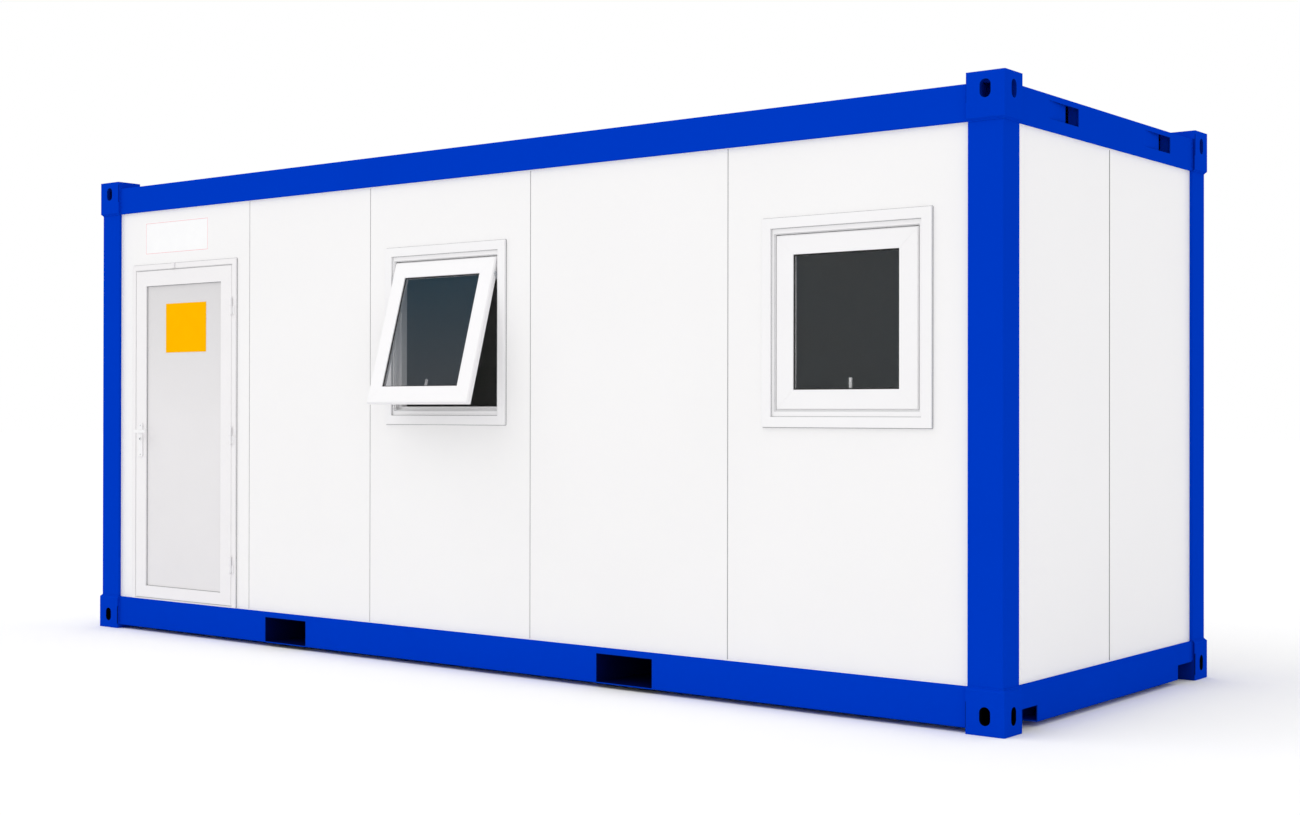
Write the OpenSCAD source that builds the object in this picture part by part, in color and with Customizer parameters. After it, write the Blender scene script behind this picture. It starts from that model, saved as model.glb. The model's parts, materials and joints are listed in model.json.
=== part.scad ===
// Site cabin on a 20-foot container frame: steel corner fittings, posts and rails carry
// insulated wall panels, a floor on joists and a ribbed roof, with one door and two windows.
// Length runs along X with the door at the -X end, the front faces -Y, and Z is up.
// The origin is on the ground, in the middle of the four bottom corner fittings.

/* [Overall frame] */
// Length over the corner fittings
container_length = 6058; // [5900:1:6300]
// Width over the corner fittings
container_width = 2438; // [2300:1:2600]
// Height over the corner fittings
container_height = 2820; // [2720:1:2960]

/* [Corner fittings] */
// Plan size of a corner fitting
fitting_size = 178; // [170:1:190]
// Wall of a corner fitting
fitting_wall = 28; // [20:1:34]
// Plate under the hollow of a bottom fitting
bottom_lock_plate = 40; // [28:1:44]
// Plate over the hollow of a top fitting
top_lock_plate = 31; // [24:1:36]
// Height of the hollow behind the apertures
fitting_hollow_height = 86; // [82:1:100]
// Radius of the upright edges of a fitting
fitting_edge_radius = 6; // [2:1:10]
// Chamfer where a fitting steps in to its post
fitting_chamfer = 10; // [4:1:12]
// Length of the aperture in the level face
lock_slot_length = 124; // [110:1:126]
// Width of the aperture in the level face
lock_slot_width = 63.5; // [56:0.5:70]
// Height of the apertures in the upright faces
side_slot_height = 80; // [70:1:84]
// Width of the apertures in the upright faces
side_slot_width = 50; // [44:1:56]

/* [Posts and rails] */
// Width of a square corner post
post_size = 162; // [150:1:164]
// Set-back of a post from the face of its fittings
post_inset = 12; // [8:1:14]
// Wall of a post
post_wall = 6; // [4:1:10]
// Radius of a post's upright edges
post_edge_radius = 5; // [2:1:8]
// Height of the bottom rails
bottom_rail_height = 178; // [172:1:190]
// Clear height under the bottom rails
bottom_rail_lift = 22; // [10:1:30]
// Height of the top rails
top_rail_height = 163; // [150:1:175]
// Rise of the top fittings over the top rails
top_fitting_rise = 43; // [20:1:60]
// Depth of a rail into the cabin
rail_depth = 110; // [100:1:114]
// Set-back of a rail from the face of the fittings
rail_inset = 18; // [15:1:24]
// Wall of a rail
rail_wall = 5; // [3:1:8]
// Radius of a rail's long edges
rail_edge_radius = 6; // [2:1:8]

/* [Rail cut-outs] */
// Clear width of a fork pocket
fork_pocket_width = 335; // [300:1:370]
// Clear height of a fork pocket
fork_pocket_height = 142; // [120:1:144]
// Plate thickness of a fork tunnel
fork_tunnel_wall = 5; // [4:1:8]
// Distance between the fork pockets
fork_pocket_spacing = 2398; // [2050:1:2450]
// Offset of the fork pockets from mid-length
fork_pocket_shift = -144; // [-160:1:0]
// Width of a lashing slot in an end top rail
lashing_slot_width = 340; // [250:1:360]
// Height of a lashing slot
lashing_slot_height = 82; // [60:1:90]
// Height of a lashing slot over the underside of its rail
lashing_slot_lift = 54; // [40:1:60]
// Distance between the lashing slots of one rail
lashing_slot_spacing = 1140; // [900:1:1200]
// Depth of a lashing slot where its sloping back ends
lashing_slot_depth = 22; // [12:1:40]
// Length of the sloping back of a lashing slot
lashing_ramp_length = 240; // [180:1:260]
// Width of the notch beside a bottom fitting
end_notch_width = 195; // [150:1:220]
// Height of the notch beside a bottom fitting
end_notch_height = 74; // [50:1:90]

/* [Floor and roof] */
// Thickness of the floor deck
floor_thickness = 20; // [15:1:30]
// Height of a floor joist
joist_height = 120; // [90:1:140]
// Flange width of a floor joist
joist_flange = 60; // [40:1:70]
// Plate thickness of a floor joist
joist_plate = 4; // [3:1:6]
// Distance between floor joists
joist_pitch = 520; // [400:1:560]
// Thickness of the ceiling panel
ceiling_thickness = 50; // [40:1:70]
// Thickness of the roof sheet
roof_sheet_thickness = 2; // [1.5:0.5:3]
// Height of a roof rib
roof_rib_height = 28; // [20:1:35]
// Distance between roof ribs
roof_rib_pitch = 290; // [220:1:330]
// Flat width on top of a roof rib
roof_rib_top = 70; // [40:1:90]
// Run of the sloping side of a roof rib
roof_rib_slope = 30; // [15:1:35]
// Depth of the roof below the top of the rails
roof_drop = 7; // [2:1:20]

/* [Wall panels] */
// Thickness of a wall panel
panel_thickness = 75; // [60:1:90]
// Set-back of the wall panels from the face of the fittings
panel_inset = 35; // [30:1:40]
// Width of the door panel
door_panel_width = 1186; // [1120:1:1240]
// Width of the first window panel
third_panel_width = 1136; // [1080:1:1180]
// Width of the second window panel
fifth_panel_width = 1213; // [1100:1:1260]
// How much wider the plain panel between the windows is than the one beside the door panel
plain_panel_difference = 206; // [0:1:300]
// Open joint between the skins of two panels
panel_joint = 5; // [2:1:6]
// Depth of the open joint
panel_joint_depth = 12; // [8:1:16]
// Width of a panel's tongue
tongue_width = 24; // [16:1:28]
// Length of a panel's tongue
tongue_length = 14; // [8:1:20]
// Clearance between the cores of two panels
core_clearance = 0.5; // [0.3:0.1:1]

/* [Windows] */
// Width of the window trim
window_trim_outer_width = 852; // [840:1:900]
// Height of the window trim
window_trim_outer_height = 965; // [940:1:1000]
// Face width of the window trim
window_trim_face = 48; // [45:1:54]
// Projection of the window trim from the wall
window_trim_projection = 14; // [8:1:20]
// Overlap of the trim on the wall panel
window_trim_overlap = 30; // [20:1:36]
// Wall between the window trim and the top rail
window_head_drop = 348; // [250:1:450]
// Sideways offset of the first window in its panel
first_window_offset = -19; // [-60:1:60]
// Sideways offset of the second window in its panel
second_window_offset = 10; // [-60:1:60]
// Ledge of the frame beside the sash
window_side_ledge = 12; // [8:1:16]
// Ledge of the frame above and below the sash
window_head_ledge = 24; // [12:1:28]
// Rise of the ledge over the face of the wall
window_ledge_rise = 2; // [0.5:0.5:6]
// Gap round a sash
sash_gap = 8; // [6:0.5:10]
// Face width of a sash
sash_face = 92; // [80:1:105]
// Thickness of a sash
sash_thickness = 30; // [26:1:40]
// Bevel round the face of a sash
sash_bevel = 6; // [2:1:8]
// Set-back of a closed sash from the face of the ledge
sash_recess = 3; // [1:0.5:8]
// Depth of the glazing groove in a sash
glazing_groove = 10; // [6:1:14]
// Set-back of a pane from the face of its sash
glazing_set_back = 9; // [6:1:14]
// Thickness of a pane
glass_thickness = 8; // [5:1:12]
// Rebate that covers the inside edge of a sash
sash_stop = 24; // [20:1:34]
// Angle to which the first window stands open
open_angle = 17; // [5:0.5:25]

/* [Door] */
// Sideways offset of the door in its panel
door_offset = 6; // [-30:1:30]
// Width of the door leaf
door_leaf_width = 880; // [800:1:900]
// Wall between the door frame and the top rail
door_head_drop = 333; // [250:1:400]
// Thickness of the door leaf
door_leaf_thickness = 45; // [40:1:52]
// Gap round the door leaf
door_gap = 7; // [6:0.5:9]
// Face width of the door frame beside the leaf
door_frame_face = 32; // [28:1:40]
// Projection of the door frame from the wall
door_frame_projection = 12; // [8:1:16]
// Overlap of the door frame on the wall panel
door_frame_overlap = 15; // [8:1:20]
// Rebate behind the edge of the leaf
door_stop = 20; // [15:1:26]
// Width of the stiles and the top rail of the leaf
door_stile = 94; // [80:1:110]
// Height of the bottom rail of the leaf
door_bottom_rail = 72; // [60:1:110]
// Thickness of the infill sheet
door_infill_thickness = 24; // [16:1:30]
// Set-back of the infill from the face of the leaf
door_infill_inset = 12; // [8:1:14]
// Height of the threshold
threshold_height = 5; // [3:1:8]
// Width of the plain sign
sign_width = 370; // [200:1:400]
// Height of the plain sign
sign_height = 301; // [200:1:400]
// Top of the sign below the top of the infill
sign_drop = 115; // [60:1:200]
// Sideways offset of the sign on the infill
sign_offset = 16; // [-60:1:60]
// Lever above the bottom of the leaf
lever_height = 1033; // [950:1:1100]
// Length of a lever
lever_length = 100; // [90:1:130]

/* [Hidden] */

$fn = 48;
eps = 1;

frame_blue = "#0636c2";
panel_white = "#f4f4f5";
trim_white = "#fbfbfb";
infill_grey = "#dedddf";
glass_dark = "#33383d";
sign_yellow = "#ffbb00";
steel_grey = "#b9bcc0";
deck_brown = "#8b7a66";

half_length = container_length / 2;
half_width = container_width / 2;

bottom_fitting_height = bottom_rail_lift + bottom_rail_height;
top_fitting_height = top_rail_height + top_fitting_rise;
floor_level = bottom_fitting_height;
top_rail_bottom = container_height - top_fitting_height;
wall_height = top_rail_bottom - floor_level;

// Inner faces of the fittings, posts and rails, measured from the middle
fitting_inner_x = half_length - fitting_size;
fitting_inner_y = half_width - fitting_size;
post_inner_x = half_length - post_inset - post_size;
post_inner_y = half_width - post_inset - post_size;
rail_inner_x = half_length - rail_inset - rail_depth;
rail_inner_y = half_width - rail_inset - rail_depth;

// Outer and inner faces of the wall panels
panel_outer_x = half_length - panel_inset;
panel_outer_y = half_width - panel_inset;
panel_inner_y = panel_outer_y - panel_thickness;

// The two plain panels share what the door and window panels leave of a long wall
plain_panels_width = 2 * post_inner_x - door_panel_width - third_panel_width - fifth_panel_width;
second_panel_width = (plain_panels_width - plain_panel_difference) / 2;

// Panel joints of the long walls, from the door end
wall_joints = [
    -post_inner_x,
    -post_inner_x + door_panel_width,
    -post_inner_x + door_panel_width + second_panel_width,
    -post_inner_x + door_panel_width + second_panel_width + third_panel_width,
    post_inner_x - fifth_panel_width,
    post_inner_x
];
function panel_middle(i) = (wall_joints[i] + wall_joints[i + 1]) / 2;
function panel_span(i) = wall_joints[i + 1] - wall_joints[i];

fork_pockets = [for (side = [-1, 1]) fork_pocket_shift + side * fork_pocket_spacing / 2];
fork_tunnel_width = fork_pocket_width + 2 * fork_tunnel_wall;
fork_tunnel_height = fork_pocket_height + 2 * fork_tunnel_wall;

first_window_x = panel_middle(2) + first_window_offset;
second_window_x = panel_middle(4) + second_window_offset;
window_centre_height = top_rail_bottom - window_head_drop - window_trim_outer_height / 2;
window_clear_width = window_trim_outer_width - 2 * window_trim_face;
window_clear_height = window_trim_outer_height - 2 * window_trim_face;
window_hole_width = window_trim_outer_width - 2 * window_trim_overlap;
window_hole_height = window_trim_outer_height - 2 * window_trim_overlap;
sash_width = window_clear_width - 2 * window_side_ledge - 2 * sash_gap;
sash_height = window_clear_height - 2 * window_head_ledge - 2 * sash_gap;
sash_front = panel_outer_y + window_ledge_rise - sash_recess;
sash_back = sash_front - sash_thickness;
sash_hinge_height = window_centre_height + sash_height / 2;
pane_width = sash_width - 2 * sash_face + 2 * glazing_groove;
pane_height = sash_height - 2 * sash_face + 2 * glazing_groove;

door_x = panel_middle(0) + door_offset;
door_face_y = panel_outer_y + door_frame_projection;
door_frame_top = top_rail_bottom - door_head_drop;
rebate_top = door_frame_top - door_frame_face;
leaf_bottom = floor_level + threshold_height + door_gap;
leaf_top = rebate_top - door_gap;
door_leaf_height = leaf_top - leaf_bottom;
leaf_back_y = door_face_y - door_leaf_thickness;
rebate_width = door_leaf_width + 2 * door_gap;
rebate_back_y = leaf_back_y - door_gap;
door_frame_width = rebate_width + 2 * door_frame_face;
door_hole_width = door_frame_width - 2 * door_frame_overlap;
door_hole_top = door_frame_top - door_frame_overlap;
infill_width = door_leaf_width - 2 * door_stile;
infill_bottom = leaf_bottom + door_bottom_rail;
infill_top = leaf_top - door_stile;
infill_groove = 12;

hinge_barrel_radius = 8;
hinge_pin_radius = 4;
hinge_clearance = 0.3;
hinge_barrel_length = 50;
hinge_plate = 3;
hinge_plate_width = 24;
hinge_stand_off = 1;
hinge_heights = [for (share = [0.12, 0.5, 0.88]) leaf_bottom + share * door_leaf_height];
hinge_x = door_x + door_leaf_width / 2 + door_gap / 2;
hinge_y = -door_face_y - hinge_barrel_radius - hinge_stand_off;

lever_x = door_x - door_leaf_width / 2 + door_stile / 2;
lever_z = leaf_bottom + lever_height;
lever_neck_radius = 9;
lever_bore_clearance = 0.5;
lever_reach = 46;
lever_thickness = 13;
lever_bar_height = 20;
handle_plate_width = 38;
handle_plate_height = 205;
handle_plate_thickness = 7;
lock_radius = 9;
lock_rise = 4;
lock_drop = 48;
plate_top_margin = 48;

// Flat shapes

module rounded_square(width, depth, radius) {
    translate([radius, 0]) square([width - 2 * radius, depth]);
    translate([0, radius]) square([width, depth - 2 * radius]);
    for (x = [radius, width - radius], y = [radius, depth - radius])
        translate([x, y]) circle(radius);
}

module slot(length, width) {
    square([length - width, width], center = true);
    for (side = [-1, 1])
        translate([side * (length - width) / 2, 0]) circle(width / 2);
}

// A level plate that fills the frame between the rails, notched round the fittings
module notched_plate(thickness) {
    linear_extrude(thickness) difference() {
        square([2 * rail_inner_x, 2 * rail_inner_y], center = true);
        for (x = [-1, 1], y = [-1, 1])
            translate([x * (fitting_inner_x + fitting_size / 2), y * (fitting_inner_y + fitting_size / 2)])
                square(fitting_size, center = true);
    }
}

// A box with its low corner and its size, which may be larger than zero only
module block(low, high) {
    translate(low) cube(high - low);
}

// Corner fittings, posts and rails

// One fitting with its outer corner at the origin, its hollow at the bottom, spreading to +X and +Y
module corner_fitting(height, lock_plate) {
    middle = fitting_size / 2;
    hollow_middle = lock_plate + fitting_hollow_height / 2;
    difference() {
        linear_extrude(height) rounded_square(fitting_size, fitting_size, fitting_edge_radius);
        translate([fitting_wall, fitting_wall, lock_plate])
            cube([fitting_size - 2 * fitting_wall, fitting_size - 2 * fitting_wall, fitting_hollow_height]);
        translate([middle, middle, -eps])
            linear_extrude(lock_plate + 2 * eps) slot(lock_slot_length, lock_slot_width);
        translate([middle, -eps, hollow_middle]) rotate([-90, 90, 0])
            linear_extrude(fitting_wall + 2 * eps) slot(side_slot_height, side_slot_width);
        translate([-eps, middle, hollow_middle]) rotate([0, 90, 0])
            linear_extrude(fitting_wall + 2 * eps) slot(side_slot_height, side_slot_width);
        for (turn = [0, 1])
            mirror([turn, -turn, 0])
                translate([-eps, 0, height]) rotate([45, 0, 0])
                    translate([0, -fitting_size, -fitting_chamfer / sqrt(2)])
                        cube([fitting_size + 2 * eps, 2 * fitting_size, fitting_size]);
    }
}

module at_each_corner() {
    for (x = [0, 1], y = [0, 1])
        mirror([x, 0, 0]) mirror([0, y, 0])
            translate([-half_length, -half_width, 0]) children();
}

module bottom_corner_fittings() {
    color(frame_blue) at_each_corner() corner_fitting(bottom_fitting_height, bottom_lock_plate);
}

module top_corner_fittings() {
    color(frame_blue) translate([0, 0, container_height]) mirror([0, 0, 1])
        at_each_corner() corner_fitting(top_fitting_height, top_lock_plate);
}

module corner_post(side_x, side_y) {
    low_x = side_x < 0 ? -half_length + post_inset : post_inner_x;
    low_y = side_y < 0 ? -half_width + post_inset : post_inner_y;
    hollow = post_size - 2 * post_wall;
    color(frame_blue) translate([low_x, low_y, floor_level])
        linear_extrude(wall_height) difference() {
            rounded_square(post_size, post_size, post_edge_radius);
            translate([post_wall, post_wall]) square(hollow);
        }
}

// A hollow rail along X, centred, its outer face at y = 0 and its depth towards +Y
module hollow_rail(length, height) {
    translate([-length / 2, 0, 0]) rotate([90, 0, 90]) linear_extrude(length) difference() {
        rounded_square(rail_depth, height, rail_edge_radius);
        translate([rail_wall, rail_wall]) square([rail_depth - 2 * rail_wall, height - 2 * rail_wall]);
    }
}

module side_rail_place(side) {
    mirror([0, side > 0 ? 1 : 0, 0]) translate([0, -half_width + rail_inset, 0]) children();
}

module end_rail_place(side) {
    mirror([side < 0 ? 1 : 0, 0, 0]) translate([half_length - rail_inset, 0, 0]) rotate([0, 0, 90]) children();
}

module side_bottom_rail(side) {
    color(frame_blue) side_rail_place(side) difference() {
        translate([0, 0, bottom_rail_lift]) hollow_rail(2 * fitting_inner_x, bottom_rail_height);
        for (x = fork_pockets)
            translate([x - fork_tunnel_width / 2, -eps, bottom_rail_lift - eps])
                cube([fork_tunnel_width, rail_depth + 2 * eps, fork_tunnel_height + eps]);
    }
}

module end_bottom_rail(side) {
    color(frame_blue) end_rail_place(side) difference() {
        translate([0, 0, bottom_rail_lift]) hollow_rail(2 * fitting_inner_y, bottom_rail_height);
        for (y = [-fitting_inner_y - eps, fitting_inner_y - end_notch_width])
            translate([y, -eps, bottom_rail_lift - eps])
                cube([end_notch_width + eps, rail_depth + 2 * eps, end_notch_height + eps]);
    }
}

module side_top_rail(side) {
    color(frame_blue) side_rail_place(side)
        translate([0, 0, top_rail_bottom]) hollow_rail(2 * fitting_inner_x, top_rail_height);
}

// Each lashing slot has a back plate that slopes in from the face of the rail and ends in the open hollow
module end_top_rail(side) {
    slot_starts = [for (y = [-1, 1]) y * lashing_slot_spacing / 2 - lashing_slot_width / 2];
    color(frame_blue) end_rail_place(side) translate([0, 0, top_rail_bottom]) {
        difference() {
            hollow_rail(2 * fitting_inner_y, top_rail_height);
            for (start = slot_starts)
                translate([start, -eps, lashing_slot_lift])
                    cube([lashing_slot_width, rail_wall + 2 * eps, lashing_slot_height]);
        }
        for (start = slot_starts)
            translate([start, 0, rail_wall - eps]) linear_extrude(top_rail_height - 2 * rail_wall + 2 * eps) polygon([
                [-eps, eps], [0, eps], [lashing_ramp_length, lashing_slot_depth],
                [lashing_ramp_length, lashing_slot_depth + rail_wall], [-eps, eps + rail_wall]
            ]);
    }
}

// Fork tunnels, floor, ceiling and roof

module fork_tunnels() {
    tunnel_length = container_width - 2 * rail_inset;
    color(frame_blue) for (x = fork_pockets)
        translate([x - fork_tunnel_width / 2, -tunnel_length / 2, bottom_rail_lift]) difference() {
            cube([fork_tunnel_width, tunnel_length, fork_tunnel_height]);
            translate([fork_tunnel_wall, -eps, fork_tunnel_wall])
                cube([fork_pocket_width, tunnel_length + 2 * eps, fork_pocket_height]);
        }
}

function meets_tunnel(x) =
    len([for (pocket = fork_pockets) if (abs(x - pocket) < (fork_tunnel_width + joist_flange) / 2) pocket]) > 0;

// Channel joists, left out where a fork tunnel carries the floor
module floor_joists() {
    joist_count = floor((rail_inner_x - joist_flange) / joist_pitch);
    color(frame_blue) for (i = [-joist_count : joist_count])
        if (!meets_tunnel(i * joist_pitch))
            translate([i * joist_pitch, rail_inner_y, floor_level - floor_thickness - joist_height])
                rotate([90, 0, 0]) linear_extrude(2 * rail_inner_y) difference() {
                    translate([-joist_flange / 2, 0]) square([joist_flange, joist_height]);
                    translate([-joist_flange / 2 + joist_plate, joist_plate])
                        square([joist_flange, joist_height - 2 * joist_plate]);
                }
}

module floor_deck() {
    color(deck_brown) translate([0, 0, floor_level - floor_thickness]) notched_plate(floor_thickness);
}

module ceiling_panel() {
    color(panel_white) translate([0, 0, top_rail_bottom]) notched_plate(ceiling_thickness);
}

// Outline of the roof sheet's upper side, rib by rib
function roof_line() =
    let (
        rib_count = floor((2 * rail_inner_x - roof_rib_top - 2 * roof_rib_slope) / roof_rib_pitch),
        first_rib = -(rib_count - 1) / 2 * roof_rib_pitch,
        foot = roof_rib_top / 2 + roof_rib_slope
    )
    [
        [-rail_inner_x, 0],
        for (i = [0 : rib_count - 1], point = [
            [-foot, 0], [-roof_rib_top / 2, roof_rib_height],
            [roof_rib_top / 2, roof_rib_height], [foot, 0]
        ]) point + [first_rib + i * roof_rib_pitch, 0],
        [rail_inner_x, 0]
    ];

module roof_sheet() {
    upper = roof_line();
    last = len(upper) - 1;
    lower = [for (i = [last : -1 : 0]) upper[i] - [0, roof_sheet_thickness]];
    sheet_level = top_rail_bottom + top_rail_height - roof_drop - roof_rib_height;
    color(panel_white) intersection() {
        translate([0, rail_inner_y, sheet_level]) rotate([90, 0, 0])
            linear_extrude(2 * rail_inner_y) polygon(concat(upper, lower));
        translate([0, 0, top_rail_bottom]) notched_plate(top_rail_height);
    }
}

// Wall panels

// Plan outline of a panel from x = 0, outer skin at y = 0, with a groove on the left and a tongue on the right
function panel_outline(width, groove, tongue) =
    let (
        t = panel_thickness,
        skin = panel_joint_depth,
        half_joint = panel_joint / 2,
        left_skin = groove ? half_joint : 0,
        right_skin = tongue ? width - half_joint : width,
        groove_half = tongue_width / 2,
        tongue_half = tongue_width / 2 - core_clearance,
        core_right = width - core_clearance
    )
    concat(
        [[left_skin, 0], [right_skin, 0]],
        !tongue ? [] : [
            [right_skin, skin], [core_right, skin],
            [core_right, t / 2 - tongue_half], [width + tongue_length, t / 2 - tongue_half],
            [width + tongue_length, t / 2 + tongue_half], [core_right, t / 2 + tongue_half],
            [core_right, t - skin], [right_skin, t - skin]
        ],
        [[right_skin, t], [left_skin, t]],
        !groove ? [] : [
            [left_skin, t - skin], [0, t - skin],
            [0, t / 2 + groove_half], [tongue_length + core_clearance, t / 2 + groove_half],
            [tongue_length + core_clearance, t / 2 - groove_half], [0, t / 2 - groove_half],
            [0, skin], [left_skin, skin]
        ]
    );

module wall_panel(width, groove, tongue) {
    linear_extrude(wall_height) polygon(panel_outline(width, groove, tongue));
}

module long_wall_place(side) {
    mirror([0, side > 0 ? 1 : 0, 0]) translate([0, -panel_outer_y, floor_level]) children();
}

module long_wall_panel(side, i) {
    long_wall_place(side) translate([wall_joints[i], 0, 0])
        wall_panel(panel_span(i), i > 0, i < len(wall_joints) - 2);
}

module door_panel_piece(low_x, high_x, low_z) {
    color(panel_white) intersection() {
        long_wall_panel(-1, 0);
        block([low_x, -panel_outer_y - eps, low_z], [high_x, -panel_inner_y + eps, top_rail_bottom]);
    }
}

module front_wall_left_of_door() {
    door_panel_piece(wall_joints[0], door_x - door_hole_width / 2, floor_level);
}

module front_wall_right_of_door() {
    door_panel_piece(door_x + door_hole_width / 2, wall_joints[1] + 2 * tongue_length, floor_level);
}

module front_wall_over_door() {
    door_panel_piece(door_x - door_hole_width / 2, door_x + door_hole_width / 2, door_hole_top);
}

module plain_front_panel(i) {
    color(panel_white) long_wall_panel(-1, i);
}

module window_panel(i, window_x) {
    color(panel_white) difference() {
        long_wall_panel(-1, i);
        translate([
            window_x - window_hole_width / 2,
            -panel_outer_y - eps,
            window_centre_height - window_hole_height / 2
        ]) cube([window_hole_width, panel_thickness + 2 * eps, window_hole_height]);
    }
}

module back_wall_panels() {
    color(panel_white) for (i = [0 : len(wall_joints) - 2]) long_wall_panel(1, i);
}

module end_panels(side) {
    color(panel_white) mirror([side < 0 ? 1 : 0, 0, 0])
        translate([panel_outer_x, 0, floor_level]) rotate([0, 0, 90]) {
            translate([-post_inner_y, 0, 0]) wall_panel(post_inner_y, false, true);
            wall_panel(post_inner_y, true, false);
        }
}

// Windows

// A level ring along Y: outer and inner size, from a front to a back set-out in +Y
module window_ring(outer, inner, front, back) {
    translate([0, front, 0]) rotate([-90, 0, 0]) linear_extrude(back - front) difference() {
        square(outer, center = true);
        square(inner, center = true);
    }
}

module window_place(window_x) {
    translate([window_x, 0, window_centre_height]) children();
}

// Trim, stepped frame and inside trim, welded at the corners into one piece
module window_frame(window_x) {
    trim = [window_trim_outer_width, window_trim_outer_height];
    hole = [window_hole_width, window_hole_height];
    clear = [window_clear_width, window_clear_height];
    sash_room = clear - 2 * [window_side_ledge, window_head_ledge];
    stop_room = sash_room - 2 * [sash_stop, sash_stop];
    ledge_y = -panel_outer_y - window_ledge_rise;
    stop_y = -sash_back;
    color(trim_white) window_place(window_x) {
        window_ring(trim, clear, -panel_outer_y - window_trim_projection, ledge_y);
        window_ring(trim, sash_room, ledge_y, -panel_outer_y);
        window_ring(hole, sash_room, -panel_outer_y, stop_y);
        window_ring(hole, stop_room, stop_y, -panel_inner_y);
    }
}

// Turns a sash and what is on it about the outside edge of its top
module sash_place(window_x, angle) {
    translate([window_x, -sash_front, sash_hinge_height]) rotate([-angle, 0, 0])
        translate([0, sash_front, -sash_height / 2]) children();
}

// Place in Y and Z of a point of a turned sash, so far behind its face and below its top
function sash_point(depth, drop, angle) = [
    -sash_front + depth * cos(angle) - drop * sin(angle),
    sash_hinge_height - depth * sin(angle) - drop * cos(angle)
];

// Mitred sash with a glazing groove and a bevel round its face
module window_sash(window_x, angle) {
    opening = [sash_width, sash_height] - 2 * [sash_face, sash_face];
    groove_front = -sash_front + glazing_set_back;
    bevel_cut = sqrt(2) * sash_bevel;
    color(trim_white) sash_place(window_x, angle) difference() {
        window_ring([sash_width, sash_height], opening, -sash_front, -sash_back);
        window_ring([pane_width, pane_height], opening - [eps, eps], groove_front, groove_front + glass_thickness);
        for (side = [-1, 1]) {
            translate([side * sash_width / 2, -sash_front, 0]) rotate([0, 0, 45])
                cube([bevel_cut, bevel_cut, sash_height + 2 * eps], center = true);
            translate([0, -sash_front, side * sash_height / 2]) rotate([45, 0, 0])
                cube([sash_width + 2 * eps, bevel_cut, bevel_cut], center = true);
        }
    }
}

module window_glass(window_x, angle) {
    color(glass_dark, 0.6) sash_place(window_x, angle)
        translate([-pane_width / 2, -sash_front + glazing_set_back, -pane_height / 2])
            cube([pane_width, glass_thickness, pane_height]);
}

// Inside handle on the bottom rail of a sash, its lever standing up before the glass
module window_handle(window_x, angle) {
    base = [30, 9, 52];
    neck_radius = 8;
    neck_reach = 26;
    lever = [14, 8, 100];
    rail_middle = -sash_height / 2 + (sash_face + sash_stop - sash_gap) / 2;
    color(trim_white) sash_place(window_x, angle) translate([0, -sash_back, rail_middle]) {
        translate([-base.x / 2, 0, -base.z / 2]) cube(base);
        rotate([-90, 0, 0]) cylinder(h = neck_reach, r = neck_radius);
        translate([-lever.x / 2, neck_reach - lever.y, -neck_radius]) cube(lever);
    }
}

// Slotted arms in the gaps beside the open sash, from the frame to the edge of the sash
module window_stays(window_x, angle) {
    arm_clearance = 0.3;
    arm_thickness = sash_gap - 2 * arm_clearance;
    arm_radius = 8;
    sash_pin = 90;
    frame_pin = 125;
    arm_start = sash_point(sash_thickness / 2, sash_pin, angle);
    arm_end = sash_point(sash_thickness / 2, frame_pin, 0);
    arm = arm_end - arm_start;
    color(steel_grey) for (side = [-1, 1])
        translate([window_x + side * (sash_width + sash_gap) / 2 - arm_thickness / 2, arm_start.x, arm_start.y])
            rotate([atan2(arm.y, arm.x), 0, 0]) rotate([90, 0, 90]) linear_extrude(arm_thickness) {
                translate([0, -arm_radius]) square([norm(arm), 2 * arm_radius]);
                circle(arm_radius);
                translate([norm(arm), 0]) circle(arm_radius);
            }
}

// Door

module door_frame() {
    stop_width = rebate_width - 2 * door_stop;
    stop_top = rebate_top - door_stop;
    clip = [26, 8, 31];
    clip_offset = 73;
    color(trim_white) {
        difference() {
            union() {
                block(
                    [door_x - door_frame_width / 2, -door_face_y, floor_level],
                    [door_x + door_frame_width / 2, -panel_outer_y, door_frame_top]
                );
                block(
                    [door_x - door_hole_width / 2, -panel_outer_y - eps, floor_level],
                    [door_x + door_hole_width / 2, -panel_inner_y, door_hole_top]
                );
            }
            block(
                [door_x - rebate_width / 2, -door_face_y - eps, floor_level + threshold_height],
                [door_x + rebate_width / 2, -rebate_back_y, rebate_top]
            );
            block(
                [door_x - stop_width / 2, -rebate_back_y - eps, floor_level + threshold_height],
                [door_x + stop_width / 2, -panel_inner_y + eps, stop_top]
            );
        }
        translate([door_x - clip.x - clip_offset, -door_face_y - clip.y, door_frame_top - clip.z])
            cube([clip.x, clip.y + eps, clip.z]);
    }
}

// Barrels and plates of the hinges: those on the frame carry the pins
module hinge_half(on_leaf) {
    side = on_leaf ? -1 : 1;
    barrel_base = on_leaf ? hinge_clearance : -hinge_barrel_length;
    for (z = hinge_heights)
        translate([hinge_x, hinge_y, z]) difference() {
            union() {
                translate([0, 0, barrel_base]) cylinder(h = hinge_barrel_length - hinge_clearance, r = hinge_barrel_radius);
                block(
                    [min(0, side * hinge_plate_width), -hinge_y - door_face_y - hinge_plate, barrel_base],
                    [
                        max(0, side * hinge_plate_width),
                        -hinge_y - door_face_y,
                        barrel_base + hinge_barrel_length - hinge_clearance
                    ]
                );
                if (!on_leaf)
                    translate([0, 0, barrel_base]) cylinder(h = 2 * hinge_barrel_length, r = hinge_pin_radius);
            }
            if (on_leaf)
                translate([0, 0, -eps])
                    cylinder(h = hinge_barrel_length + 2 * eps, r = hinge_pin_radius + hinge_clearance);
        }
}

module door_frame_hinges() {
    color(trim_white) hinge_half(false);
}

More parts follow.
